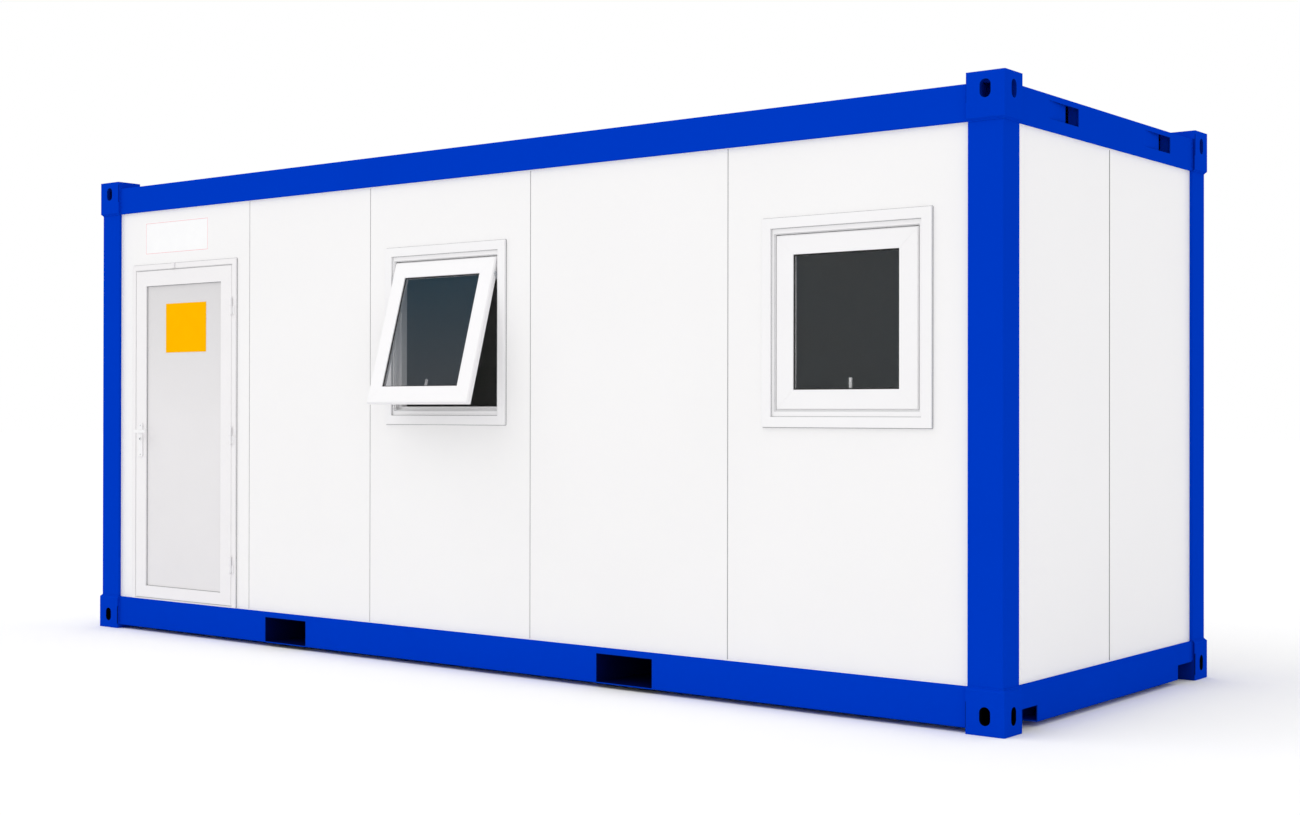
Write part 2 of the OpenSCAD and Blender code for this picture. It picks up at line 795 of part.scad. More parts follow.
module door_leaf_hinges() {
    color(trim_white) hinge_half(true);
}

module lever_bore(radius) {
    translate([lever_x, 0, lever_z]) rotate([90, 0, 0])
        cylinder(h = container_width, r = radius + lever_bore_clearance, center = true);
}

module door_leaf() {
    color(trim_white) difference() {
        block(
            [door_x - door_leaf_width / 2, -door_face_y, leaf_bottom],
            [door_x + door_leaf_width / 2, -leaf_back_y, leaf_top]
        );
        block(
            [door_x - infill_width / 2, -door_face_y - eps, infill_bottom],
            [door_x + infill_width / 2, -leaf_back_y + eps, infill_top]
        );
        infill_body();
        intersection() {
            lever_bore(lever_neck_radius);
            block(
                [door_x - door_leaf_width / 2, -door_face_y - eps, leaf_bottom],
                [door_x, -leaf_back_y + eps, leaf_top]
            );
        }
    }
}

module infill_body() {
    block(
        [
            door_x - infill_width / 2 - infill_groove,
            -door_face_y + door_infill_inset,
            infill_bottom - infill_groove
        ],
        [
            door_x + infill_width / 2 + infill_groove,
            -door_face_y + door_infill_inset + door_infill_thickness,
            infill_top + infill_groove
        ]
    );
}

module door_infill() {
    color(infill_grey) infill_body();
}

module door_sign() {
    sign_thickness = 2;
    color(sign_yellow)
        translate([
            door_x + sign_offset - sign_width / 2,
            -door_face_y + door_infill_inset - sign_thickness,
            infill_top - sign_drop - sign_height
        ]) cube([sign_width, sign_thickness, sign_height]);
}

// A long plate on each face of the leaf, with the lock cylinder below the lever
module door_handle_plates() {
    color(trim_white) difference() {
        for (face = [[-door_face_y - handle_plate_thickness, 1], [-leaf_back_y, 0]]) {
            translate([
                lever_x - handle_plate_width / 2,
                face[0],
                lever_z + plate_top_margin - handle_plate_height
            ]) cube([handle_plate_width, handle_plate_thickness, handle_plate_height]);
            translate([lever_x, face[0] - face[1] * lock_rise, lever_z - lock_drop]) rotate([-90, 0, 0])
                cylinder(h = handle_plate_thickness + lock_rise, r = lock_radius);
        }
        lever_bore(lever_neck_radius);
    }
}

// Two levers on one spindle through the leaf
module door_lever() {
    outer_y = -door_face_y - handle_plate_thickness - lever_reach;
    inner_y = -leaf_back_y + handle_plate_thickness + lever_reach;
    color(steel_grey) translate([lever_x, 0, lever_z]) {
        translate([0, outer_y, 0]) rotate([-90, 0, 0]) cylinder(h = inner_y - outer_y, r = lever_neck_radius);
        for (y = [outer_y, inner_y - lever_thickness])
            translate([0, y, -lever_bar_height / 2]) {
                cube([lever_length - lever_bar_height / 2, lever_thickness, lever_bar_height]);
                for (x = [0, lever_length - lever_bar_height / 2])
                    translate([x, 0, lever_bar_height / 2]) rotate([-90, 0, 0])
                        cylinder(h = lever_thickness, r = lever_bar_height / 2);
            }
    }
}

bottom_corner_fittings();
top_corner_fittings();
corner_post(-1, -1);  // front_left_post
corner_post(1, -1);  // front_right_post
corner_post(-1, 1);  // back_left_post
corner_post(1, 1);  // back_right_post
side_bottom_rail(-1);  // front_bottom_rail
side_bottom_rail(1);  // back_bottom_rail
end_bottom_rail(-1);  // left_bottom_rail
end_bottom_rail(1);  // right_bottom_rail
side_top_rail(-1);  // front_top_rail
side_top_rail(1);  // back_top_rail
end_top_rail(-1);  // left_top_rail
end_top_rail(1);  // right_top_rail
fork_tunnels();
floor_joists();
floor_deck();
ceiling_panel();
roof_sheet();
front_wall_left_of_door();
front_wall_right_of_door();
front_wall_over_door();
plain_front_panel(1);  // front_wall_second_panel
window_panel(2, first_window_x);  // front_wall_third_panel
plain_front_panel(3);  // front_wall_fourth_panel
window_panel(4, second_window_x);  // front_wall_fifth_panel
back_wall_panels();
end_panels(-1);  // left_end_panels
end_panels(1);  // right_end_panels
window_frame(first_window_x);  // first_window_frame
window_sash(first_window_x, open_angle);  // first_window_sash
window_glass(first_window_x, open_angle);  // first_window_glass
window_handle(first_window_x, open_angle);  // first_window_handle
window_stays(first_window_x, open_angle);  // first_window_stays
window_frame(second_window_x);  // second_window_frame
window_sash(second_window_x, 0);  // second_window_sash
window_glass(second_window_x, 0);  // second_window_glass
window_handle(second_window_x, 0);  // second_window_handle
door_frame();
door_frame_hinges();
door_leaf();
door_infill();
door_sign();
door_handle_plates();
door_leaf_hinges();
door_lever();
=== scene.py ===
import json
import math

import bmesh
import bpy
from mathutils import Matrix, Vector


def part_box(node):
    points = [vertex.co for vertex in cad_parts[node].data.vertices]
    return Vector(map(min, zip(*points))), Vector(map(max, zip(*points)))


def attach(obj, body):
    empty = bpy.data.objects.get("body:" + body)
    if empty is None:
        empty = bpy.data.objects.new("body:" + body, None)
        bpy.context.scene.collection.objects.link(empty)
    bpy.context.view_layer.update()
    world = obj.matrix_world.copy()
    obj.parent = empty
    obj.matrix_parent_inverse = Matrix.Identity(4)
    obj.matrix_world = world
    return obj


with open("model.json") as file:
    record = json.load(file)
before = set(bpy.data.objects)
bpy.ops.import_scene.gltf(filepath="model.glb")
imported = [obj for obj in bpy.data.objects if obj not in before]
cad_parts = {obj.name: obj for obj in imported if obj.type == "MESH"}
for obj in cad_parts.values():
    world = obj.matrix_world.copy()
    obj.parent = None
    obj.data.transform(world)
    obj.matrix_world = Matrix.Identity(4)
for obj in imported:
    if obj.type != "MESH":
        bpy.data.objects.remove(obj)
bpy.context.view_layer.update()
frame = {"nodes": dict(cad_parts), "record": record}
cad = frame["nodes"]
scene = bpy.context.scene
scene.view_settings.view_transform = "Standard"
mm = 0.001
print("frame in place:", len(cad), "nodes")


# camera: found from the steel frame's own edges in the photograph
view = {
    "place": (6.366, -8.5873, 1.3672),
    "turn": 41.454,  # degrees, as are the tilt and the roll
    "tilt": 0.231,
    "roll": 0.111,
    "focalPixels": 1840.0,
    "axisPixels": (439.18, 404.74),
    "imagePixels": (1300, 815),
    "sensor": 36.0,
}
wide, tall = view["imagePixels"]
axisX, axisY = view["axisPixels"]
cameraData = bpy.data.cameras.new("yardCamera")
cameraData.sensor_width = view["sensor"]
cameraData.lens = view["focalPixels"] / wide * view["sensor"]
cameraData.shift_x = (wide / 2 - axisX) / wide
cameraData.shift_y = (axisY - tall / 2) / wide
camera = bpy.data.objects.new("yardCamera", cameraData)
camera.location = view["place"]
camera.rotation_euler = [math.radians(a) for a in (90 + view["tilt"], -view["roll"], view["turn"])]
scene.collection.objects.link(camera)
scene.camera = camera
print("camera set")


def hexToLinear(code):
    channels = [int(code[i:i + 2], 16) / 255 for i in (1, 3, 5)]
    return [c / 12.92 if c <= 0.04045 else ((c + 0.055) / 1.055) ** 2.4 for c in channels] + [1.0]


# a pattern's scale from its real size
def scaleOf(sizeMm):
    return 1 / (sizeMm * mm)


# settings and links go by socket name or number; a setting that is no socket goes to the node itself
def addNode(tree, kind, settings, links):
    node = tree.nodes.new(kind)
    for key, value in settings.items():
        if isinstance(key, int) or key in node.inputs:
            node.inputs[key].default_value = value
        else:
            setattr(node, key, value)
    for key, source in links.items():
        tree.links.new(source, node.inputs[key])
    return node


def newFinish(name, settings):
    material = bpy.data.materials.new(name)
    material.use_nodes = True
    tree = material.node_tree
    shader = tree.nodes["Principled BSDF"]
    for key, value in settings.items():
        shader.inputs[key].default_value = value
    place = addNode(tree, "ShaderNodeTexCoord", {"name": "place"}, {}).outputs["Object"]
    return material, tree, shader, place


# a copy of a finish, whose named nodes can then be changed
def copyFinish(finish, name):
    material = finish.copy()
    material.name = name
    tree = material.node_tree
    return material, tree, tree.nodes["Principled BSDF"], tree.nodes["place"].outputs["Object"]


# two tones that drift into each other, on a skin that is uneven at the same scale
def softFinish(name, settings, look):
    material, tree, shader, place = newFinish(name, settings)
    drift = addNode(tree, "ShaderNodeTexNoise",
                    {"Scale": scaleOf(look["driftMm"]), "Detail": look["detail"]}, {"Vector": place})
    first, second = [hexToLinear(code) for code in look["tones"]]
    tone = addNode(tree, "ShaderNodeMix", {"name": "tone", "data_type": "RGBA", 6: first, 7: second},
                   {0: drift.outputs["Fac"]})
    tree.links.new(tone.outputs[2], shader.inputs["Base Color"])
    if look["bump"]:
        skin = addNode(tree, "ShaderNodeBump", {"Strength": look["bump"], "Distance": look["bumpMm"] * mm},
                       {"Height": drift.outputs["Fac"]})
        tree.links.new(skin.outputs["Normal"], shader.inputs["Normal"])
    return material


# one inside a box that repeats mirrored about x, y and the given height, else nought; all in metres
def within(tree, place, height, middle, half):
    lowered = addNode(tree, "ShaderNodeVectorMath", {"operation": "SUBTRACT", 1: (0, 0, height)},
                      {0: place})
    spot = addNode(tree, "ShaderNodeVectorMath", {"operation": "ABSOLUTE"}, {0: lowered.outputs[0]})
    away = addNode(tree, "ShaderNodeVectorMath", {"operation": "SUBTRACT", 1: middle}, {0: spot.outputs[0]})
    far = addNode(tree, "ShaderNodeVectorMath", {"operation": "ABSOLUTE"}, {0: away.outputs[0]})
    axes = addNode(tree, "ShaderNodeSeparateXYZ", {}, {0: far.outputs[0]})
    x, y, z = [addNode(tree, "ShaderNodeMath", {"operation": "LESS_THAN", 1: half[k]}, {0: axes.outputs[k]})
               for k in range(3)]
    level = addNode(tree, "ShaderNodeMath", {"operation": "MULTIPLY"}, {0: x.outputs[0], 1: y.outputs[0]})
    inside = addNode(tree, "ShaderNodeMath", {"operation": "MULTIPLY"},
                     {0: level.outputs[0], 1: z.outputs[0]})
    return inside.outputs[0]


# two-pack enamel sprayed on blasted steel: an even deep blue, satin, with slight orange peel
# and a painted highlight, a paler blue along the rounded edges
enamel = {
    "blue": "#0037BF", "drift": "#003AC4", "driftMm": 800,
    "edge": "#0A48D0", "edgeMm": 4, "edgeFrom": 0.995, "edgeTo": 0.75,  # cosines of the rounding
    "peelMm": 16,  # real peel is about 3 mm across, drawn coarser so that it shows
}
frameEnamel, tree, shader, place = newFinish("frameEnamel", {"Roughness": 0.42, "Specular IOR Level": 0.0})
cloud = addNode(tree, "ShaderNodeTexNoise", {"Scale": scaleOf(enamel["driftMm"]), "Detail": 2.0},
                {"Vector": place})
body = addNode(tree, "ShaderNodeMix", {"data_type": "RGBA", 6: hexToLinear(enamel["blue"]),
               7: hexToLinear(enamel["drift"])}, {0: cloud.outputs["Fac"]})
rounded = addNode(tree, "ShaderNodeBevel", {"samples": 4, "Radius": enamel["edgeMm"] * mm}, {})
flat = addNode(tree, "ShaderNodeNewGeometry", {}, {})
facing = addNode(tree, "ShaderNodeVectorMath", {"operation": "DOT_PRODUCT"},
                 {0: rounded.outputs["Normal"], 1: flat.outputs["Normal"]})
# painted highlight: a paler blue where the rounded normal leans away from the flat one, along every edge
edge = addNode(tree, "ShaderNodeMapRange", {1: enamel["edgeFrom"], 2: enamel["edgeTo"]},
               {0: facing.outputs["Value"]})
paint = addNode(tree, "ShaderNodeMix",
                {"name": "paint", "data_type": "RGBA", 7: hexToLinear(enamel["edge"])},
                {0: edge.outputs["Result"], 6: body.outputs[2]})
peel = addNode(tree, "ShaderNodeTexNoise", {"Scale": scaleOf(enamel["peelMm"]), "Detail": 2.0},
               {"Vector": place})
skin = addNode(tree, "ShaderNodeBump", {"name": "skin", "Strength": 0.25, "Distance": 0.6 * mm},
               {"Height": peel.outputs["Fac"], "Normal": rounded.outputs["Normal"]})
tree.links.new(paint.outputs[2], shader.inputs["Base Color"])
tree.links.new(skin.outputs["Normal"], shader.inputs["Normal"])

# the same enamel on sand-cast steel: the mould's grain stays under the paint; painted shade darkens the
# hollows, near black near the ground and dark navy further up, and dark navy painted shade lies on the
# sides towards the end rails
casting = {
    # painted shade: near black for the low hollows, dark navy for the high hollows and the inward sides
    "lowHollowShade": "#05070D", "dull": "#00248F",
    "grainMm": 9, "bump": 0.45, "bumpMm": 1.2,  # sand grain is about 1 mm, drawn coarser so that it shows
    "middleHeight": 1.4145,  # the hollows, each a middle and half a size, lie as far above it as below
    "endHollow": ((2.94, 1.1165, 1.3315), (0.0885, 0.075, 0.055)),  # with the apertures in the end faces
    "sideHollow": ((2.9265, 1.13, 1.3315), (0.075, 0.0885, 0.055)),  # and with those in the long sides
    "inward": ((2.94, 1.041, 1.3835), (0.0885, 0.0005, 1.3935)),  # from the ground up to the rails' tops
}
castEnamel, tree, shader, place = copyFinish(frameEnamel, "castEnamel")
grain = addNode(tree, "ShaderNodeTexNoise", {"Scale": scaleOf(casting["grainMm"]), "Detail": 5.0,
                "Roughness": 0.6}, {"Vector": place})
skin = tree.nodes["skin"]
skin.inputs["Strength"].default_value = casting["bump"]
skin.inputs["Distance"].default_value = casting["bumpMm"] * mm
tree.links.new(grain.outputs["Fac"], skin.inputs["Height"])
middle = casting["middleHeight"]
# painted shade inside the hollows behind the apertures, and on the sides facing the end rails
hollow = addNode(tree, "ShaderNodeMath", {"operation": "MAXIMUM"},
                 {0: within(tree, place, middle, *casting["endHollow"]),
                  1: within(tree, place, middle, *casting["sideHollow"])})
axes = addNode(tree, "ShaderNodeSeparateXYZ", {}, {0: place})
upper = addNode(tree, "ShaderNodeMath", {"operation": "GREATER_THAN", 1: middle}, {0: axes.outputs["Z"]})
inner = addNode(tree, "ShaderNodeMix", {"data_type": "RGBA", 6: hexToLinear(casting["lowHollowShade"]),
                7: hexToLinear(casting["dull"])}, {0: upper.outputs[0]})
hollowShaded = addNode(tree, "ShaderNodeMix", {"data_type": "RGBA"},
                {0: hollow.outputs[0], 6: tree.nodes["paint"].outputs[2], 7: inner.outputs[2]})
inwardShaded = addNode(tree, "ShaderNodeMix", {"data_type": "RGBA", 7: hexToLinear(casting["dull"])},
                 {0: within(tree, place, 0, *casting["inward"]), 6: hollowShaded.outputs[2]})
tree.links.new(inwardShaded.outputs[2], shader.inputs["Base Color"])

# the same enamel on the fork tunnels, with painted shade in dark navy inside them, behind their mouths
# whose 1 mm rim keeps the blue
tunnel = {"tunnelShade": "#020D4A", "rim": 1 * mm}
tunnelEnamel, tree, shader, place = copyFinish(frameEnamel, "tunnelEnamel")
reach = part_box("fork_tunnels")[1]
deep = (2 * reach.x, reach.y - tunnel["rim"], 2 * reach.z)
# painted shade everywhere inside the tunnels but on their mouths
tunnelShaded = addNode(tree, "ShaderNodeMix", {"data_type": "RGBA", 7: hexToLinear(tunnel["tunnelShade"])},
                {0: within(tree, place, 0, (0, 0, 0), deep), 6: tree.nodes["paint"].outputs[2]})
tree.links.new(tunnelShaded.outputs[2], shader.inputs["Base Color"])

# coil-coated steel skins on foam: white polyester outside, a pale grey liner inside, satin,
# with the slow ripple that the foam leaves in thin sheet
sheet = {
    "white": "#F7F6F6", "weathered": "#F3F2F2", "liner": "#F2F3F3", "driftMm": 900, "rippleMm": 420,
    "grainMm": 10,  # coil-coat grain is under 1 mm, drawn coarser so that it shows
    "room": ((0, 0, 1.5), (2.955, 1.147, 1.5)),  # middle and half size of the box that is lined
}
panelSkin, tree, shader, place = newFinish("panelSkin", {"Roughness": 0.45, "Specular IOR Level": 0.25})
cloud = addNode(tree, "ShaderNodeTexNoise", {"Scale": scaleOf(sheet["driftMm"]), "Detail": 3.0},
                {"Vector": place})
outer = addNode(tree, "ShaderNodeMix", {"name": "outer", "data_type": "RGBA",
                6: hexToLinear(sheet["white"]), 7: hexToLinear(sheet["weathered"])},
                {0: cloud.outputs["Fac"]})
both = addNode(tree, "ShaderNodeMix", {"data_type": "RGBA", 7: hexToLinear(sheet["liner"])},
               {0: within(tree, place, 0, *sheet["room"]), 6: outer.outputs[2]})
ripple = addNode(tree, "ShaderNodeTexNoise", {"Scale": scaleOf(sheet["rippleMm"]), "Detail": 1.0},
                 {"Vector": place})
grain = addNode(tree, "ShaderNodeTexNoise", {"Scale": scaleOf(sheet["grainMm"]), "Detail": 3.0},
                {"Vector": place})
slow = addNode(tree, "ShaderNodeBump", {"Strength": 0.3, "Distance": 4 * mm},
               {"Height": ripple.outputs["Fac"]})
fine = addNode(tree, "ShaderNodeBump", {"Strength": 0.12, "Distance": 0.4 * mm},
               {"Height": grain.outputs["Fac"], "Normal": slow.outputs["Normal"]})
tree.links.new(both.outputs[2], shader.inputs["Base Color"])
tree.links.new(fine.outputs["Normal"], shader.inputs["Normal"])

# the same skins on the two ends, a touch paler: painted light that makes up for the ends getting less sun
paintedLightEnds = {"white": "#FAF9FA", "weathered": "#F7F6F7"}
endSkin, tree = copyFinish(panelSkin, "endSkin")[:2]
tree.nodes["outer"].inputs[6].default_value = hexToLinear(paintedLightEnds["white"])
tree.nodes["outer"].inputs[7].default_value = hexToLinear(paintedLightEnds["weathered"])

# extruded uPVC: clean white with a soft gloss, and edges rounded by the die
plastic = {
    "white": "#F6F5F6", "shade": "#F2F1F2", "driftMm": 260, "edgeMm": 2.5,
    "drawMm": 30,  # draw marks are a few mm apart, drawn coarser so that they show
}
whiteUpvc, tree, shader, place = newFinish("whiteUpvc", {"Roughness": 0.3, "IOR": 1.53,
                                           "Specular IOR Level": 0.3})
cloud = addNode(tree, "ShaderNodeTexNoise", {"Scale": scaleOf(plastic["driftMm"]), "Detail": 2.0},
                {"Vector": place})
tone = addNode(tree, "ShaderNodeMix", {"name": "tone", "data_type": "RGBA",
               6: hexToLinear(plastic["white"]), 7: hexToLinear(plastic["shade"])},
               {0: cloud.outputs["Fac"]})
rounded = addNode(tree, "ShaderNodeBevel", {"samples": 4, "Radius": plastic["edgeMm"] * mm}, {})
draw = addNode(tree, "ShaderNodeTexNoise", {"Scale": scaleOf(plastic["drawMm"]), "Detail": 2.0},
               {"Vector": place})
skin = addNode(tree, "ShaderNodeBump", {"Strength": 0.08, "Distance": 0.4 * mm},
               {"Height": draw.outputs["Fac"], "Normal": rounded.outputs["Normal"]})
tree.links.new(tone.outputs[2], shader.inputs["Base Color"])
tree.links.new(skin.outputs["Normal"], shader.inputs["Normal"])

# the same uPVC on the door, a slightly greyer white
doorGrey = {"white": "#F3F1F2", "shade": "#EEECED"}
doorUpvc, tree = copyFinish(whiteUpvc, "doorUpvc")[:2]
tree.nodes["tone"].inputs[6].default_value = hexToLinear(doorGrey["white"])
tree.nodes["tone"].inputs[7].default_value = hexToLinear(doorGrey["shade"])

# foam-cored door board with an embossed foil: a greyer white than its frame, nearly matt,
# with painted shade that darkens it towards the top
board = {
    "grey": "#E9E7E8", "shade": "#E4E2E3", "driftMm": 320,
    "dustAndShade": "#DAD8D9", "dustAndShadeFrom": 1.3, "dustAndShadeTo": 2.15,  # heights in metres
    "embossMm": 8,  # really about 1 mm, drawn coarser so that it shows
}
infillFoil, tree, shader, place = newFinish("infillFoil", {"Roughness": 0.55, "Specular IOR Level": 0.25})
cloud = addNode(tree, "ShaderNodeTexNoise", {"Scale": scaleOf(board["driftMm"]), "Detail": 3.0},
                {"Vector": place})
tone = addNode(tree, "ShaderNodeMix", {"data_type": "RGBA", 6: hexToLinear(board["grey"]),
               7: hexToLinear(board["shade"])}, {0: cloud.outputs["Fac"]})
axes = addNode(tree, "ShaderNodeSeparateXYZ", {}, {0: place})
height = addNode(tree, "ShaderNodeMapRange", {1: board["dustAndShadeFrom"], 2: board["dustAndShadeTo"]},
                 {0: axes.outputs["Z"]})
# painted shade: darker towards the top of the board
topShaded = addNode(tree, "ShaderNodeMix", {"data_type": "RGBA", 7: hexToLinear(board["dustAndShade"])},
                {0: height.outputs["Result"], 6: tone.outputs[2]})
emboss = addNode(tree, "ShaderNodeTexVoronoi", {"Scale": scaleOf(board["embossMm"])}, {"Vector": place})
skin = addNode(tree, "ShaderNodeBump", {"Strength": 0.1, "Distance": 0.4 * mm},
               {"Height": emboss.outputs["Distance"]})
tree.links.new(topShaded.outputs[2], shader.inputs["Base Color"])
tree.links.new(skin.outputs["Normal"], shader.inputs["Normal"])

# cast vinyl film: strong even yellow with a faint pull in it
vinyl = {"tones": ("#FFBB01", "#FCB400"), "driftMm": 60, "detail": 2.0, "bump": 0.1, "bumpMm": 0.5}
signVinyl = softFinish("signVinyl", {"Roughness": 0.5, "Specular IOR Level": 0.0}, vinyl)

# grey-tinted float glass: clear enough to look into the dim room, so that it reads as dark blue-grey,
# with the slow roll of toughened panes
pane = {"tones": ("#36464F", "#424547"), "driftMm": 300, "detail": 1.0, "bump": 0.05, "bumpMm": 2}
tintedGlass = softFinish("tintedGlass", {"Roughness": 0.04, "IOR": 1.5, "Alpha": 0.12,
                         "Specular IOR Level": 0.5}, pane)

# the open pane leans out over the pale ground: little real shine, with a painted reflection instead, deep
# blue above and grey below
openPaneAndReflection = {"above": "#28485A", "below": "#50575E", "from": 1.5, "to": 2.1, "alpha": 0.28, "shine": 0.1}
openGlass, tree, shader, place = copyFinish(tintedGlass, "openGlass")
shader.inputs["Specular IOR Level"].default_value = openPaneAndReflection["shine"]
shader.inputs["Alpha"].default_value = openPaneAndReflection["alpha"]
# painted reflection: the tint turns from grey below to deep blue above
axes = addNode(tree, "ShaderNodeSeparateXYZ", {}, {0: place})
height = addNode(tree, "ShaderNodeMapRange", {1: openPaneAndReflection["from"], 2: openPaneAndReflection["to"]}, {0: axes.outputs["Z"]})
tone = tree.nodes["tone"]
tone.inputs[6].default_value = hexToLinear(openPaneAndReflection["below"])
tone.inputs[7].default_value = hexToLinear(openPaneAndReflection["above"])
tree.links.new(height.outputs["Result"], tone.inputs[0])

# EPDM profile: soft near-black rubber, dusty on its crown
rubber = {
    "tones": ("#1D1D1E", "#2E2E2F"), "detail": 3.0, "bump": 0.3, "bumpMm": 0.2,
    "driftMm": 3,  # the skin's grain is under 1 mm, drawn coarser so that it shows
}
sealRubber = softFinish("sealRubber", {"Roughness": 0.75, "Specular IOR Level": 0.3}, rubber)

# neutral silicone in the panel joints: soft mid grey that reads as a hairline
mastic = {"tones": ("#AAABAC", "#A0A1A2"), "driftMm": 12, "detail": 2.0, "bump": 0.2, "bumpMm": 0.5}
jointMastic = softFinish("jointMastic", {"Roughness": 0.6, "Specular IOR Level": 0.3}, mastic)

# extruded thermoplastic seals, pale on the frames and dark against the infill, with white silicone along
# the walls, and grey silicone round the frames and a grey line inside the window trims as painted shade:
# soft, dull and even
strips = {
    "paleSeal": ("#DEDEDF", "#D6D6D7"),
    "darkSeal": ("#A0A1A3", "#959698"),
    "whiteSilicone": ("#EFEEEE", "#E9E8E8"),
    "shadeGreySilicone": ("#A2A3A4", "#9A9B9C"),
    "shadeLineSilicone": ("#B8B9BA", "#B0B1B2"),
}
tooled = {"driftMm": 12, "detail": 2.0, "bump": 0.2, "bumpMm": 0.3}
finishes = {}
for name, tones in strips.items():
    finishes[name] = softFinish(name, {"Roughness": 0.6, "Specular IOR Level": 0.25},
                                {**tooled, "tones": tones})

# brushed stainless strip: fine grain along the stay, soft streaked shine
steel = {
    "bright": "#C7CACD", "dull": "#AEB1B4", "stretch": (1.0, 1.0, 0.05),
    "grainMm": 1.5,  # brush marks are about 0.2 mm wide, drawn coarser so that they show
}
brushedSteel, tree, shader, place = newFinish("brushedSteel", {"Metallic": 1.0, "Roughness": 0.32})
along = addNode(tree, "ShaderNodeMapping", {"Scale": steel["stretch"]}, {"Vector": place})
grain = addNode(tree, "ShaderNodeTexNoise", {"Scale": scaleOf(steel["grainMm"]), "Detail": 2.0},
                {"Vector": along.outputs["Vector"]})
tone = addNode(tree, "ShaderNodeMix", {"data_type": "RGBA", 6: hexToLinear(steel["bright"]),
               7: hexToLinear(steel["dull"])}, {0: grain.outputs["Fac"]})
skin = addNode(tree, "ShaderNodeBump", {"Strength": 0.15, "Distance": 0.1 * mm},
               {"Height": grain.outputs["Fac"]})
tree.links.new(tone.outputs[2], shader.inputs["Base Color"])
tree.links.new(skin.outputs["Normal"], shader.inputs["Normal"])

# contract vinyl on cement board: grey-brown fleck, dull shine
deck = {"ground": "#C8C2B8", "fleck": "#ABA399", "pale": "#D8D3CB", "fleckMm": 7}
deckVinyl, tree, shader, place = newFinish("deckVinyl", {"Roughness": 0.5})
fleck = addNode(tree, "ShaderNodeTexVoronoi", {"Scale": scaleOf(deck["fleckMm"])}, {"Vector": place})
tones = addNode(tree, "ShaderNodeValToRGB", {}, {"Fac": fleck.outputs["Color"]})
tones.color_ramp.elements[0].color = hexToLinear(deck["fleck"])
tones.color_ramp.elements[1].color = hexToLinear(deck["pale"])
tones.color_ramp.elements.new(0.5).color = hexToLinear(deck["ground"])
skin = addNode(tree, "ShaderNodeBump", {"Strength": 0.15, "Distance": 0.3 * mm},
               {"Height": fleck.outputs["Distance"]})
tree.links.new(tones.outputs["Color"], shader.inputs["Base Color"])
tree.links.new(skin.outputs["Normal"], shader.inputs["Normal"])

# pre-painted trapezoidal roof sheet: pale grey, washed by rain, dustier where water stands
roof = {
    "grey": "#D3D6D8", "dustAndShade": "#BFC1BF", "washMm": 500, "dustAndShadeFrom": 0.4, "dustAndShadeTo": 0.7,
    "grainMm": 14,  # coat grain is under 1 mm, drawn coarser so that it shows
}
roofSheet, tree, shader, place = newFinish("roofSheet", {"Roughness": 0.45, "Specular IOR Level": 0.35})
wash = addNode(tree, "ShaderNodeTexNoise", {"Scale": scaleOf(roof["washMm"]), "Detail": 5.0},
               {"Vector": place})
level = addNode(tree, "ShaderNodeMapRange", {1: roof["dustAndShadeFrom"], 2: roof["dustAndShadeTo"]},
                {0: wash.outputs["Fac"]})
tone = addNode(tree, "ShaderNodeMix", {"data_type": "RGBA", 6: hexToLinear(roof["grey"]),
               7: hexToLinear(roof["dustAndShade"])}, {0: level.outputs["Result"]})
grain = addNode(tree, "ShaderNodeTexNoise", {"Scale": scaleOf(roof["grainMm"]), "Detail": 3.0},
                {"Vector": place})
skin = addNode(tree, "ShaderNodeBump", {"Strength": 0.15, "Distance": 0.5 * mm},
               {"Height": grain.outputs["Fac"]})
tree.links.new(tone.outputs[2], shader.inputs["Base Color"])
tree.links.new(skin.outputs["Normal"], shader.inputs["Normal"])

# self-adhesive label film: white gloss stock, and its pale red edge ink
film = {"labelFilm": ("#FCFCFC", "#F6F6F7"), "labelInk": ("#F0A9AE", "#EB9AA0")}
stock = {"driftMm": 80, "detail": 2.0, "bump": 0}  # film lies flat
for name, tones in film.items():
    finishes[name] = softFinish(name, {"Roughness": 0.35, "Specular IOR Level": 0.25},
                                {**stock, "tones": tones})
print("finishes made")


# every CAD node keeps its shape and takes one of the finishes above
finishOf = [
    (castEnamel, ["bottom_corner_fittings", "top_corner_fittings"]),
    (frameEnamel, ["front_left_post", "front_right_post", "back_left_post", "back_right_post",
                   "front_bottom_rail", "back_bottom_rail", "left_bottom_rail", "right_bottom_rail",
                   "front_top_rail", "back_top_rail", "left_top_rail", "right_top_rail", "floor_joists"]),
    (tunnelEnamel, ["fork_tunnels"]),
    (panelSkin, ["ceiling_panel", "front_wall_left_of_door", "front_wall_right_of_door",
                 "front_wall_over_door", "front_wall_second_panel", "front_wall_third_panel",
                 "front_wall_fourth_panel", "front_wall_fifth_panel", "back_wall_panels"]),
    (endSkin, ["left_end_panels", "right_end_panels"]),
    (whiteUpvc, ["first_window_frame", "first_window_sash", "first_window_handle", "second_window_frame",
                 "second_window_sash", "second_window_handle", "door_frame_hinges", "door_handle_plates",
                 "door_leaf_hinges", "door_lever"]),
    (doorUpvc, ["door_frame", "door_leaf"]),
    (tintedGlass, ["second_window_glass"]),
    (openGlass, ["first_window_glass"]),
    (brushedSteel, ["first_window_stays"]),
    (infillFoil, ["door_infill"]),
    (signVinyl, ["door_sign"]),
    (deckVinyl, ["floor_deck"]),
    (roofSheet, ["roof_sheet"]),
]
for finish, names in finishOf:
    for name in names:
        for slot in cad[name].material_slots:
            slot.material = finish
print("finishes on the CAD nodes")


